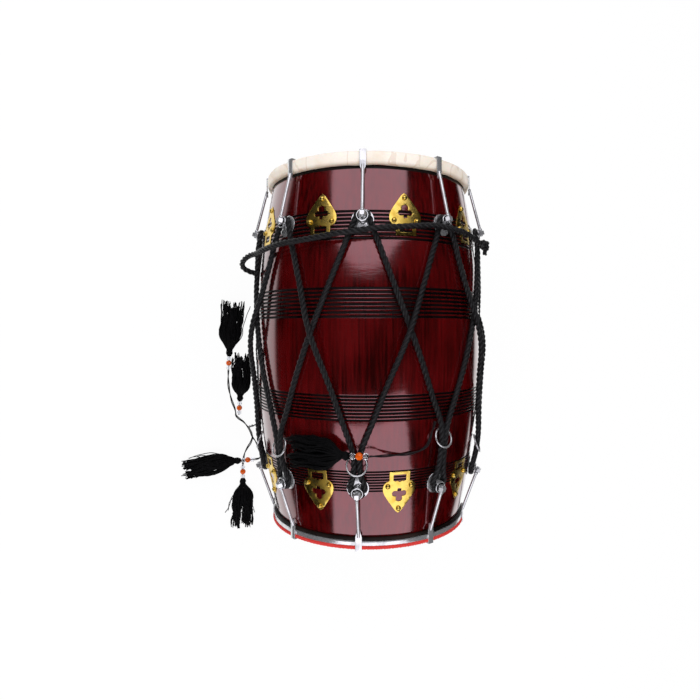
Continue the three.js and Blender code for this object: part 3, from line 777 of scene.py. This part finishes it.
def smooth(piece, degrees=35):
    """Smooths a piece's faces, with an edge kept wherever they turn more than that."""
    choose(piece)
    bpy.ops.object.shade_smooth_by_angle(angle=radians(degrees))


def laid_with_drum(piece, finish, slot, stands_for):
    """Finishes a piece that was drawn on the standing drum, and lays it down with the drum."""
    smooth(piece)
    piece.data.transform(lie)
    ready(piece, finish, "drum", slot, stands_for)


# The wear effect: patches of a finish where its colour and gloss have changed with handling
wear, takes, gives = effect(
    "wear",
    {"Colour": "Color", "Worn Colour": "Color", "Roughness": "Float", "Worn Roughness": "Float",
     "Scale": "Float"},
    {"Colour": "Color", "Roughness": "Float", "Height": "Float"},
)
spot = own_place(wear)
share = stretch(wear, cloud(wear, spot, takes["Scale"], 5.0), 0.4, 0.7, interpolation_type="SMOOTHSTEP")
wear.links.new(blend(wear, share, takes["Colour"], takes["Worn Colour"]), gives["Colour"])
change = node(wear, "Mix", {0: share, 2: takes["Roughness"], 3: takes["Worn Roughness"]})
wear.links.new(change.outputs[0], gives["Roughness"])
fine_scale = calculate(wear, "MULTIPLY", takes["Scale"], 12.0)
wear.links.new(cloud(wear, spot, fine_scale, 3.0), gives["Height"])


def worn(name, colour, other, rough, rougher, scale, strength, depth, **plain):
    """A material with a worn finish."""
    made, tree, shader = material(name, **plain)
    values = {"Colour": (*colour, 1), "Worn Colour": (*other, 1), "Roughness": rough,
              "Worn Roughness": rougher, "Scale": scale}
    finish = node(tree, "Group", values, node_tree=wear).outputs
    feed(shader, Base_Color=finish["Colour"], Roughness=finish["Roughness"],
         Normal=bump(tree, finish["Height"], strength, depth))
    return made


def drum_place(tree, scale):
    """The place on the drum as it stands, stretched by a scale."""
    values = {"Vector": own_place(tree), "Location": lie.translation, "Rotation": lie.to_euler("XYZ")}
    upright = node(tree, "Mapping", values, vector_type="TEXTURE").outputs[0]
    return node(tree, "Mapping", {"Vector": upright, "Scale": scale}).outputs[0]


lacquer, tree, shader = material("dark_red_lacquer", Specular_IOR_Level=1.0, Specular_Tint=(1, 0.05, 0.12, 1),
                                 Roughness=0.12, Coat_Weight=1.0, Coat_IOR=1.8)
grain = cloud(tree, drum_place(tree, (260, 9, 260)), 1.0, 3.0)
patches = cloud(tree, drum_place(tree, (14, 9, 14)), 1.0, 3.0)
share = node(tree, "Mix", {0: grain_share, 2: patches, 3: grain}).outputs[0]
share = stretch(tree, share, 0.38, 0.62)
stain = blend(tree, share, (0.016, 0.0001, 0.0001, 1), (0.084, 0.0004, 0.001, 1))
brush_marks = cloud(tree, drum_place(tree, (38, 190, 38)), 1.0)
feed(shader, Base_Color=stain, Coat_Roughness=stretch(tree, patches, 0.0, 1.0, 0.06, 0.2),
     Coat_Normal=bump(tree, brush_marks, 0.16, 0.0006))
# The groove paint is also used for the painted shade band under the lap.
groove_paint_and_lap_shade = worn("black_groove_paint_and_lap_shade", (0.002, 0.0015, 0.0015), (0.006, 0.003, 0.003), 0.25, 0.45, 30.0, 0.1,
                   0.0002, Specular_IOR_Level=0.16)

shell = turned("barrel", shell_outline, shell_steps)
shell.data.materials.append(lacquer)
shell.data.materials.append(groove_paint_and_lap_shade)


def is_black(face):
    """Whether a face is in a groove, or in the band of painted shade just under the head's lap."""
    middle = face.calc_center_median()
    depth = shell_radius(middle.y) - hypot(middle.x, middle.z)
    in_shade_band = lap_shade_band[0] < middle.y < lap_shade_band[1]
    return depth < painted_depth and (in_shade_band or depth > groove_depth / 10)


bpy.ops.object.mode_set(mode="EDIT")
pick(is_black)
shell.active_material_index = 1
bpy.ops.object.material_slot_assign()
bpy.ops.object.mode_set(mode="OBJECT")
laid_with_drum(shell, None, "lacquered_wood", "shell")

# Treble head: a cream rawhide skin, dried tight over a metal hoop and turned back under it. The
# skin is thick and a little translucent, and its cut edge below the hoop is not quite even.
edge_unevenness = 0.0011
edge_zone = (0.6, 0.61)
lap_radius = 0.17
pucker_depth = 0.0005
pucker_radius = 0.183
treble_outline = [
    (0, 0.6178), (0.12, 0.6178), (0.1821, 0.6178), (0.1821, 0.6016), (0.1775, 0.6016), (0.1775, 0.5999),
    (0.1818, 0.5999), (0.1833, 0.6007), (0.1845, 0.6023), (0.1853, 0.6046), (0.1859, 0.6075), (0.186, 0.6105),
    (0.186, 0.6142), (0.1857, 0.617), (0.1851, 0.6188), (0.1841, 0.6199), (0.1826, 0.6203), (0.179, 0.6202),
    (0.177, 0.6198), (0.1748, 0.6192), (0.17, 0.619), (0.12, 0.619), (0.06, 0.619), (0, 0.619),
]
rawhide = worn("cream_rawhide", (0.82, 0.757, 0.66), (0.72, 0.62, 0.49), 0.42, 0.6, 22.0, 0.6, 0.001,
               Subsurface_Weight=0.12, Subsurface_Scale=0.004)
tree = rawhide.node_tree
shader = tree.nodes["Principled BSDF"]
height = node(tree, "SeparateXYZ", {0: drum_place(tree, (1, 1, 1))}).outputs["Y"]
edge = stretch(tree, height, 0.6, 0.6045, 0.75, 0.0)
creases = calculate(tree, "COMPARE", cloud(tree, drum_place(tree, (16, 9, 16)), 1.0, 3.0), 0.5, 0.012)
away = node(tree, "VectorMath", {0: drum_place(tree, (1, 0, 1))}, operation="LENGTH").outputs["Value"]
on_rim = stretch(tree, away, 0.17, 0.182, 0.1, 0.4)
browned = calculate(tree, "MULTIPLY", calculate(tree, "MULTIPLY_ADD", creases, on_rim, edge), 0.6)
plain_hide = shader.inputs["Base Color"].links[0].from_socket
feed(shader, Base_Color=blend(tree, browned, plain_hide, (0.42, 0.27, 0.14, 1)))
treble_skin = turned("treble_head", treble_outline, shell_steps)
for vertex in treble_skin.data.vertices:
    radius = hypot(vertex.co.x, vertex.co.z)
    turn = atan2(vertex.co.x, vertex.co.z)
    spot = Vector((3 * cos(turn), 3 * sin(turn), 0))
    lower = 1 - ease(vertex.co.y, *edge_zone) if radius > lap_radius else 0
    vertex.co.y += edge_unevenness * lower * noise.noise(spot * 2)
    puckers = pucker_depth * noise.noise(spot * 7) if radius > pucker_radius else 0
    vertex.co.x += puckers * vertex.co.x / max(radius, 0.01)
    vertex.co.z += puckers * vertex.co.z / max(radius, 0.01)
laid_with_drum(treble_skin, rawhide, "rawhide", "treble_skin")

chrome = worn("chrome_plate", (0.72, 0.73, 0.74), (0.58, 0.59, 0.6), 0.15, 0.28, 60.0, 0.1, 0.0002,
              Metallic=0.8)
hoop_outline = [(0.1784, 0.6024), (0.1789, 0.6019), (0.1813, 0.6019), (0.1818, 0.6024), (0.1818, 0.6144),
                (0.1813, 0.6149), (0.1789, 0.6149), (0.1784, 0.6144), (0.1784, 0.6024)]
laid_with_drum(turned("treble_flesh_hoop", hoop_outline, 96), chrome, "chrome", "treble_hoop")

# Bass head: a dark hide skin turned up outside the foot of the shell, held by a plated hoop of
# flat bar with rounded edges, with a trim of bright red twisted cord below the hoop.
bass_edge = 0.017
trim_height = 0.0054
trim_reach = 0.1727
trim_radius = 0.0036
trim_strand = 0.0019
trim_lays = 84
trim_steps = 420
bass_outline = [
    (0, 0.0024), (0.06, 0.0024), (0.12, 0.0024), (0.1696, 0.0024), (0.1706, 0.0028), (0.1711, 0.0038),
    (0.1711, 0.0154), (0.1721, 0.0155), (0.173, 0.016), (0.1736, 0.0172), (0.1735, 0.019), (0.1729, 0.0204),
    (0.1718, 0.021), (0.1699, 0.021), (0.1699, 0.0036), (0.12, 0.0036), (0.06, 0.0036), (0, 0.0036),
]
dark_hide = worn("dark_hide", (0.004, 0.0025, 0.002), (0.02, 0.011, 0.008), 0.5, 0.7, 14.0, 0.5, 0.0008,
                 Specular_IOR_Level=0.14)
bass_skin = turned("bass_head", bass_outline, shell_steps)
for vertex in bass_skin.data.vertices:
    if vertex.co.y > bass_edge:
        turn = atan2(vertex.co.x, vertex.co.z)
        vertex.co.y += pucker_depth * noise.noise(Vector((9 * cos(turn), 9 * sin(turn), 2)))
laid_with_drum(bass_skin, dark_hide, "black_hide", "bass_skin")

bar_outline = [(0.1714, 0.008), (0.1716, 0.0077), (0.1734, 0.0077), (0.1739, 0.0079), (0.1742, 0.0085),
               (0.17425, 0.0096), (0.17425, 0.0133), (0.1742, 0.0144), (0.1739, 0.015), (0.1734, 0.0152),
               (0.1716, 0.0152), (0.1714, 0.0149), (0.1714, 0.008)]
laid_with_drum(turned("bass_hoop_bar", bar_outline, shell_steps), chrome, "chrome", "bass_hoop")


def on_drum(turn, height, radius):
    """A point of the drum as it stands."""
    return Vector((radius * sin(turn), height, radius * cos(turn)))


red_cord = fibrous("red_twisted_cord", (0.4, 0.004, 0.004), (0.9, 0.045, 0.03), 3.0, 700, 1.0, Roughness=0.6)
trim_turns = [tau * step / trim_steps for step in range(trim_steps + 1)]
trim_ring = [on_drum(turn, trim_height, trim_reach) for turn in trim_turns]
trim_length = sum((b - a).length for a, b in zip(trim_ring, trim_ring[1:]))
trim_strands = twisted(trim_ring, trim_radius, trim_length / trim_lays)
bass_trim = tubes("red_trim_cord", trim_strands, trim_strand, 6)
bass_trim.data.transform(lie)
ready(bass_trim, red_cord, "drum", "red_cord", "bass_trim")

# Tuning hooks: a flat plated strip claws over the rim, and a thin rod is welded to it. The rod
# goes through the eye of a saddle, where its ball collar and a hexagon nut hold it.
pitch = tau / 9
rope_stand = 0.0068
edge_bevel = 0.0005
strip_width = 0.0105
strip_thickness = 0.0018
claw_length = 0.008
strip_ends = [(0.002, 0.93, 1.1), (0.005, 0.62, 1.6), (0.004, 0.78, 1.4)]
rod_radius = 0.0025
rod_foot = 0.0123
collar_spot = (0, 0.0107, 0.00915)
collar_half = [(0.0025, 0.0028), (0.0031, 0.0022), (0.0036, 0.0011)]
collar_radius = 0.0037
thread_start = 0.0033
thread_pitch = 0.0008
thread_root = 0.0022
thread_crests = 11
flange_radius = 0.0175
spool_outline = [
    (0, -0.0065), (0.0168, -0.0065), (0.0173, -0.0063), (flange_radius, -0.0059), (0.0173, -0.0055),
    (0.0168, -0.0053), (0.0066, -0.0053), (0.0055, -0.005), (0.0049, -0.0043), (0.0048, -0.003),
    (0.0048, 0.0007), (0.0045, 0.0012), (0.0038, 0.0014), (0, 0.0014),
]
eye_radius = 0.0085
eye_wire = 0.0011
eye_height = 0.0062
eye_middle = (0, 0.0035, 0)
web_size = (0.0044, 0.0018, 0.0065)
web_middle = (0, -0.0051, 0.0032)
ends = {
    "top": SimpleNamespace(height=0.5125, turn=radians(-2.5), way=1, reach=0.1098, rim=0.1863, strip=0.024),
    "bottom": SimpleNamespace(height=0.1008, turn=radians(-4.9), way=-1, reach=0.1008, rim=0.1745,
                              strip=0.022),
}
for end in ends.values():
    end.radius = shell_radius(end.height) + rope_stand
    end.tilt = atan(end.way * (end.height - belly_height) / barrel_curve)
    end.collar = Matrix.Rotation(-end.tilt, 3, "X") @ Vector(collar_spot)
    strip_middle = end.rim + strip_thickness / 2 - end.radius
    end.rod_head = Vector((0, end.reach - end.strip, strip_middle))
    end.rod_way = (end.collar - end.rod_head).normalized()
    end.rod_turn = Vector((0, 1, 0)).rotation_difference(end.rod_way).to_matrix().to_4x4()


def hook_place(end, number, spot=Vector()):
    """Where a thing drawn in the hook's own frame goes on the drum as it lies."""
    seat = Matrix.Translation((0, end.height, end.radius))
    if end.way < 0:
        seat = seat @ Matrix.Rotation(pi, 4, "Z")
    return lie @ Matrix.Rotation(end.turn + pitch * number, 4, "Y") @ seat @ Matrix.Translation(spot)


def copies(source, name, places):
    """Copies of a piece, each with its own mesh, at its places, and their numbers from 1."""
    for number, place in enumerate(places, 1):
        piece = source.copy()
        piece.data = source.data.copy()
        piece.name = piece.data.name = f"{name}_{number}"
        bpy.context.collection.objects.link(piece)
        piece.data.transform(place)
        yield number, piece


def block(size, middle):
    """A plain block, which is left in edit mode with the whole of it selected."""
    choose()
    bpy.ops.mesh.primitive_cube_add(size=1)
    bpy.ops.object.mode_set(mode="EDIT")
    bpy.ops.mesh.select_all(action="SELECT")
    bpy.ops.transform.resize(value=size)
    bpy.ops.transform.translate(value=middle)
    return bpy.context.object


def wire_ring(name, radius, wire, height, sides, steps):
    """A ring of round wire about Z."""
    turns = [tau * side / sides for side in range(sides)]
    outline = [(radius + wire * cos(turn), height + wire * sin(turn)) for turn in turns]
    return turned(name, [*outline, outline[0]], steps, "Z")


def strip_piece(end):
    """The flat strip with its claw, drawn down to the thickness of the rod at its lower end."""
    face, top, low = end.rim - end.radius, end.reach, end.reach - end.strip
    claw_start = top - strip_thickness
    strip = block((strip_width, top - low, strip_thickness), (0, (top + low) / 2, face + strip_thickness / 2))
    bpy.ops.mesh.bisect(plane_co=(0, claw_start, 0), plane_no=(0, 1, 0))
    pick(lambda f: f.normal.z < -0.9 and f.calc_center_median().y > claw_start)
    bpy.ops.mesh.extrude_region_move(TRANSFORM_OT_translate={"value": (0, 0, -claw_length)})
    pick(lambda f: f.normal.y < -0.9 and f.calc_center_median().y < low + 0.0001)
    for long, narrower, thicker in strip_ends:
        bpy.ops.mesh.extrude_region_move(TRANSFORM_OT_translate={"value": (0, -long, 0)})
        bpy.ops.transform.resize(value=(narrower, 1, thicker))
    bpy.ops.mesh.select_all(action="SELECT")
    bpy.ops.mesh.normals_make_consistent(inside=False)
    bpy.ops.mesh.bevel(offset=edge_bevel, segments=2, affect="EDGES")
    bpy.ops.object.mode_set(mode="OBJECT")
    return strip


def rod_piece(end):
    """The rod, its ball collar and its threaded foot."""
    long = (end.collar - end.rod_head).length
    outline = [(0, 0), (0.0021, 0), (rod_radius, 0.0005)]
    outline += [(radius, long - before) for radius, before in collar_half]
    outline.append((collar_radius, long))
    outline += [(radius, long + after) for radius, after in reversed(collar_half)]
    outline.append((rod_radius, long + thread_start))
    for thread in range(thread_crests):
        crest = long + thread_start + thread * thread_pitch
        outline += [(rod_radius, crest), (thread_root, crest + thread_pitch / 2)]
    outline += [(0.0019, long + rod_foot), (0, long + rod_foot)]
    rod = turned("rod", outline, 14)
    rod.data.transform(end.rod_turn)
    rod.data.transform(Matrix.Translation(end.rod_head))
    return rod


def saddle_pieces(end):
    """The flanged spool that the rope goes round, and the eye and web over it."""
    spool = turned("spool", spool_outline, 28, "Z")
    eye = wire_ring("eye", eye_radius, eye_wire, eye_height, 10, 28)
    eye.data.transform(Matrix.Translation(eye_middle))
    web = block(web_size, web_middle)
    bpy.ops.mesh.bevel(offset=edge_bevel, segments=2, affect="EDGES")
    bpy.ops.object.mode_set(mode="OBJECT")
    for part in (spool, eye, web):
        part.data.transform(Matrix.Rotation(-end.tilt, 4, "X"))
    return [spool, eye, web]


for name, end in ends.items():
    hook = joined("hook", [strip_piece(end), rod_piece(end), *saddle_pieces(end)])
    smooth(hook)
    places = [hook_place(end, number) for number in range(9)]
    for number, piece in copies(hook, f"hook_{name}", places):
        ready(piece, chrome, "drum", "chrome", f"{name}_hook_{number}")
    bpy.data.objects.remove(hook)

# Nuts: a plated hexagon nut on the threaded foot of each rod, with chamfered corners.
nut_outline = [(0.0027, -0.0035), (0.0031, -0.0037), (0.0055, -0.0037), (0.0066, -0.003), (0.0066, 0.003),
               (0.0055, 0.0037), (0.0031, 0.0037), (0.0027, 0.0035), (0.0027, -0.0035)]
nut_flat = 0.00568
nut_drop = 0.0068
nut = turned("nut", nut_outline, 36)
choose()
bpy.ops.mesh.primitive_cylinder_add(vertices=6, radius=nut_flat / cos(pi / 6), depth=0.02)
hexagon = bpy.context.object
hexagon.data.transform(Matrix.Rotation(pi / 2, 4, "X") @ Matrix.Rotation(pi / 6, 4, "Z"))
choose(nut)
bpy.ops.object.modifier_add(type="BOOLEAN")
nut.modifiers[0].operation = "INTERSECT"
nut.modifiers[0].object = hexagon
bpy.ops.object.modifier_apply(modifier=nut.modifiers[0].name)
bpy.data.objects.remove(hexagon)
smooth(nut, 25)
for name, end in ends.items():
    seat = end.collar + end.rod_way * nut_drop
    places = [hook_place(end, number, seat) @ end.rod_turn for number in range(9)]
    for number, piece in copies(nut, f"nut_{name}", places):
        ready(piece, chrome, f"{name}_nut_{number}", "chrome", f"{name}_nut_{number}")
bpy.data.objects.remove(nut)

# Tuning rings: plated wire bent round and welded shut, one round the two runs of rope above
# each bottom saddle. Slid up, away from the saddle, it draws the runs together and tightens them.
ring_heights = [0.14, 0.176, 0.142, 0.15, 0.158, 0.176, 0.15, 0.142, 0.156]
ring_stand = 0.0093
ring_radius = 0.0155
ring_wire = 0.0014
ring_lean = radians(27.7)
weld_share = 0.16
weld_cosine = 0.97
ring = wire_ring("ring", ring_radius, ring_wire, 0, 12, 48)
for vertex in ring.data.vertices:
    radius = hypot(vertex.co.x, vertex.co.y)
    middle = vertex.co.xy / radius * ring_radius
    weld = 1 + weld_share * max(0, vertex.co.y / radius - weld_cosine) / (1 - weld_cosine)
    vertex.co.x = middle.x + (vertex.co.x - middle.x) * weld
    vertex.co.y = middle.y + (vertex.co.y - middle.y) * weld
    vertex.co.z *= weld
smooth(ring)
ring_places = []
for number, height in enumerate(ring_heights):
    arm = lie @ Matrix.Rotation(ends["bottom"].turn + pitch * number, 4, "Y")
    arm = arm @ Matrix.Translation((0, height, shell_radius(height) + ring_stand))
    lean = -atan((height - belly_height) / barrel_curve) - ring_lean
    ring_places.append(arm @ Matrix.Rotation(lean, 4, "X"))
for number, piece in copies(ring, "tuning_ring", ring_places):
    ready(piece, chrome, f"ring_{number}", "chrome", f"ring_{number}")
bpy.data.objects.remove(ring)

# Lacing: one soft black rope, three twisted strands, that zigzags twice round the drum from top
# saddle to bottom saddle. Where two runs cross, one of them rises over the other.
bend_radius = 0.0109
base_lift = 0.0058
crossing_lift = 0.0099
crossing_slope = 0.07
ring_slope = 0.045
saddle_slope = 0.09
run_gap = 0.0003
pair_rise = 0.026
lace_step = 0.003
run_shares = (0.15, 0.3, 0.45, 0.55, 0.7, 0.85)
crossing_half_share = 0.05


def beside_hook(end, number, across, reach):
    """A point beside the middle of a saddle, reach towards the rim."""
    point = Vector((across, reach * cos(end.tilt) * end.way, -reach * sin(end.tilt)))
    point += Vector((0, end.height, end.radius))
    return Matrix.Rotation(end.turn + pitch * number, 3, "Y") @ point


def round_saddle(end, number, degrees):
    """A point of the rope's bend round a saddle."""
    turn = radians(degrees)
    return beside_hook(end, number, bend_radius * cos(turn), bend_radius * sin(turn))


def run(number, way, over):
    """One run of rope, from a top saddle down to the bottom saddle beside it."""
    top, bottom = ends["top"], ends["bottom"]
    spread = rope_radius + run_gap
    meet = ring_heights[(number + way) % 9] + ring_radius
    pair_height = bottom.height + pair_rise
    start_turn = top.turn + pitch * number + way * bend_radius / top.radius
    meet_radius = shell_radius(meet) + ring_stand
    foot_turn = bottom.turn + pitch * (number + way)
    meet_turn = foot_turn - way * spread / meet_radius
    reach = flange_radius + rope_radius
    flange_turn = mixed(start_turn, meet_turn, reach / (top.height - meet))
    stand = top.radius + reach * sin(top.tilt)
    cover = stand / cos(flange_turn - top.turn - pitch * number)
    route = [beside_hook(top, number, way * bend_radius, 0),
             on_drum(flange_turn, top.height - reach, cover)]
    for share in run_shares:
        y = mixed(top.height, meet, share)
        near = (top.height - meet) * max(0, abs(share - 0.5) - crossing_half_share)
        rise = max(0, 1 - near / crossing_slope) * crossing_lift if over else 0
        ring_lift = max(0, 1 - (y - meet) / ring_slope) * (ring_stand - base_lift)
        saddle_lift = max(0, 1 - (top.height - y) / saddle_slope) * (rope_stand - base_lift)
        lift = base_lift + max(rise, ring_lift, saddle_lift)
        route.append(on_drum(mixed(start_turn, meet_turn, share), y, shell_radius(y) + lift))
    route.append(on_drum(meet_turn, meet, meet_radius))
    pair_radius = shell_radius(pair_height) + ring_stand
    route.append(on_drum(foot_turn - way * spread / pair_radius, pair_height, pair_radius))
    route.append(beside_hook(bottom, number + way, -way * bend_radius, 0))
    return route


def is_over(crossing):
    """Whether the run that goes down to the right passes over at a crossing."""
    return abs((crossing + 4) % 9 - 4) % 2 == 1


lace_route = [round_saddle(ends["top"], 2, 88), round_saddle(ends["top"], 2, 45)]
for leg in range(9):
    top = 2 + 2 * leg
    lace_route += run(top, 1, is_over(top))
    lace_route += [round_saddle(ends["bottom"], top + 1, degrees) for degrees in (45, 90, 135)]
    lace_route += reversed(run(top + 2, -1, not is_over(top + 1)))
    if leg < 8:
        lace_route += [round_saddle(ends["top"], top + 2, degrees) for degrees in (135, 90, 45)]
lace_route += [round_saddle(ends["top"], 2, 135), round_saddle(ends["top"], 2, 92)]
lace_strands = twisted(smooth_line(lace_route, lace_step), rope_radius, rope_lay)
lacing = tubes("twisted_lacing", lace_strands, strand_radius, 7)
lacing.data.transform(lie)
press_on_floor(lacing)
ready(lacing, black_rope, "drum", "black_rope", "lacing_rope")

# Brass plates: thin sheet pressed to shape, one between every two hooks at each end, with a
# slot and a club cut out of it. Each is bent to the shell and pinned with three domed nails.
plate_half = [(0.0165, 0), (0.0165, 0.0145), (0.0195, 0.0155), (0.0233, 0.018), (0.0255, 0.022),
              (0.0262, 0.027), (0.0254, 0.032), (0.0233, 0.037), (0.0178, 0.0455), (0.0113, 0.0545),
              (0.0045, 0.0637), (0, 0.067)]
slot_half = [(0.0105, 0.0045), (0.0105, 0.014), (0.007, 0.0155), (0.0035, 0.0145), (0, 0.017)]
club_half = [(0.0032, 0.0265), (0.0032, 0.031), (0.0074, 0.0305), (0.0098, 0.031), (0.0113, 0.0325),
             (0.0119, 0.0348), (0.0114, 0.0372), (0.0099, 0.0389), (0.0076, 0.0397), (0.0047, 0.0398),
             (0.0054, 0.042), (0.0053, 0.0444), (0.0043, 0.0465), (0.0025, 0.0478), (0, 0.0482)]
nail_spots = [(0, 0.0598), (0.0188, 0.0232), (-0.0188, 0.0232)]
nail_outline = [(0, 0.0006), (0.0038, 0.0006), (0.0041, 0.001), (0.0041, 0.0016), (0.0037, 0.0029),
                (0.0028, 0.004), (0.0015, 0.0047), (0, 0.0049)]
plate_start = {"top": 0.4894, "bottom": 0.1266}
sheet_half = 0.00028
sheet_edge = 0.00012
sheet_lift = 0.0005
bend_step = 0.004
rise_step = 0.006


def both_sides(half):
    """The whole outline from its right half."""
    return half + [(-x, y) for x, y in reversed(half) if x > 0]


sheet = bpy.data.curves.new("plate", "CURVE")
sheet.dimensions = "2D"
sheet.fill_mode = "BOTH"
sheet.extrude = sheet_half
sheet.bevel_depth = sheet_edge
sheet.bevel_resolution = 1
for outline in (both_sides(plate_half), both_sides(slot_half), both_sides(club_half)):
    spline = sheet.splines.new("POLY")
    spline.points.add(len(outline) - 1)
    spline.use_cyclic_u = True
    for point, (x, y) in zip(spline.points, outline):
        point.co = (x, y, 0, 1)
plate = bpy.data.objects.new("plate", sheet)
bpy.context.collection.objects.link(plate)
choose(plate)
bpy.ops.object.convert(target="MESH")
plate = bpy.context.object
bpy.ops.object.mode_set(mode="EDIT")
cuts = [((cut * bend_step, 0, 0), (1, 0, 0)) for cut in range(-5, 6)]
cuts += [((0, cut * rise_step, 0), (0, 1, 0)) for cut in range(1, 12)]
for spot, way in cuts:
    bpy.ops.mesh.select_all(action="SELECT")
    bpy.ops.mesh.bisect(plane_co=spot, plane_no=way)
bpy.ops.mesh.select_all(action="SELECT")
bpy.ops.mesh.remove_doubles(threshold=0.000005)
bpy.ops.mesh.normals_make_consistent(inside=False)
bpy.ops.object.mode_set(mode="OBJECT")
plate.data.transform(Matrix.Translation((0, 0, sheet_lift)))
nails = []
for x, y in nail_spots:
    nail = turned("nail", nail_outline, 18, "Z")
    nail.data.transform(Matrix.Translation((x, y, 0)))
    nails.append(nail)
plate = joined("plate", [plate, *nails])
brass = worn("pressed_brass", (0.88, 0.64, 0.15), (0.8, 0.54, 0.09), 0.25, 0.36, 70.0, 0.05, 0.0002,
             Metallic=1.0)
plate.data.materials.clear()
smooth(plate)
for name, end in ends.items():
    for number, piece in copies(plate, f"plate_{name}", [Matrix()] * 9):
        middle = end.turn + pitch * (number - 0.5)
        for vertex in piece.data.vertices:
            height = plate_start[name] + end.way * vertex.co.y
            stand = shell_radius(height) + vertex.co.z
            across = end.way * vertex.co.x / shell_radius(height)
            vertex.co = lie @ on_drum(middle + across, height, stand)
        ready(piece, brass, "drum", "brass")
bpy.data.objects.remove(plate)

# Floor: plain pale paper that runs on to the same white behind the drum, lit by two large soft
# panels, one above the drum's head end and one below its foot.
left_edge = (-0.75, -0.66)
right_edge = (0.8, 0.7)
paper, tree, shader = material("pale_paper", Roughness=0.9)
grain = cloud(tree, own_place(tree), 40.0, 4.0)
feed(shader, Base_Color=blend(tree, grain, (0.9, 0.9, 0.9, 1), (0.94, 0.94, 0.94, 1)))
rays = node(tree, "LightPath").outputs
across = node(tree, "SeparateXYZ", {0: own_place(tree)}).outputs["X"]
left = stretch(tree, across, *left_edge)
right = stretch(tree, across, *right_edge)
sheet_light = calculate(tree, "MULTIPLY", left, right)
sheet_light = calculate(tree, "MAXIMUM", sheet_light, rays["Is Camera Ray"])
shiny = calculate(tree, "MAXIMUM", rays["Is Glossy Ray"], rays["Is Transmission Ray"])
part = calculate(tree, "MAXIMUM", calculate(tree, "MULTIPLY", rays["Is Camera Ray"], 0.95), shiny)
glow = node(tree, "Emission", {"Color": sheet_light, "Strength": 1.0}).outputs[0]
mix = node(tree, "MixShader", {0: part, 1: shader.outputs[0], 2: glow})
tree.links.new(mix.outputs[0], tree.nodes["Material Output"].inputs["Surface"])
choose()
bpy.ops.mesh.primitive_plane_add(size=30, location=(0, 0, 0))
floor = bpy.context.object
floor.name = floor.data.name = "paper_floor"
floor.data.materials.append(paper)
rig.stage(floor)

world = bpy.data.worlds.new("studio")
bpy.context.scene.world = world
world.use_nodes = True
tree = world.node_tree
rays = node(tree, "LightPath").outputs
white = calculate(tree, "MAXIMUM", rays["Is Camera Ray"], rays["Is Transmission Ray"])
around_it = blend(tree, rays["Is Glossy Ray"], (0.75, 0.75, 0.76, 1), (0.006, 0.006, 0.006, 1))
sky = blend(tree, white, around_it, (0.968, 0.968, 0.968, 1))
tree.links.new(sky, tree.nodes["Background"].inputs["Color"])

panel_width = 2.3
panel_aim = Vector((0, 0.33, 0))
panels = (
    {"name": "upper_panel", "shape": "ELLIPSE", "spot": (0.03, 1.554, 1.267), "deep": 1.8, "roll": 10},
    {"name": "lower_panel", "shape": "RECTANGLE", "spot": (0.1, -0.854, 1.29), "deep": 1.4, "roll": 0},
)
for values in panels:
    choose()
    bpy.ops.object.light_add(type="AREA")
    panel = bpy.context.object
    panel.name = values["name"]
    panel.data.shape = values["shape"]
    panel.data.size = panel_width
    panel.data.size_y = values["deep"]
    panel.data.energy = 16
    panel.data.color = (0.96, 0.93, 1.0)
    panel.visible_camera = False
    facing = (Vector(values["spot"]) - panel_aim).to_track_quat("Z", "Y").to_matrix().to_4x4()
    facing = facing @ Matrix.Rotation(radians(values["roll"]), 4, "Z")
    panel.matrix_world = lie @ Matrix.Translation(values["spot"]) @ facing

own_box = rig.bounds()
with open("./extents.json", "w") as sizes:
    json.dump([[list(corner) for corner in box] for box in (cad_box, own_box)], sizes)
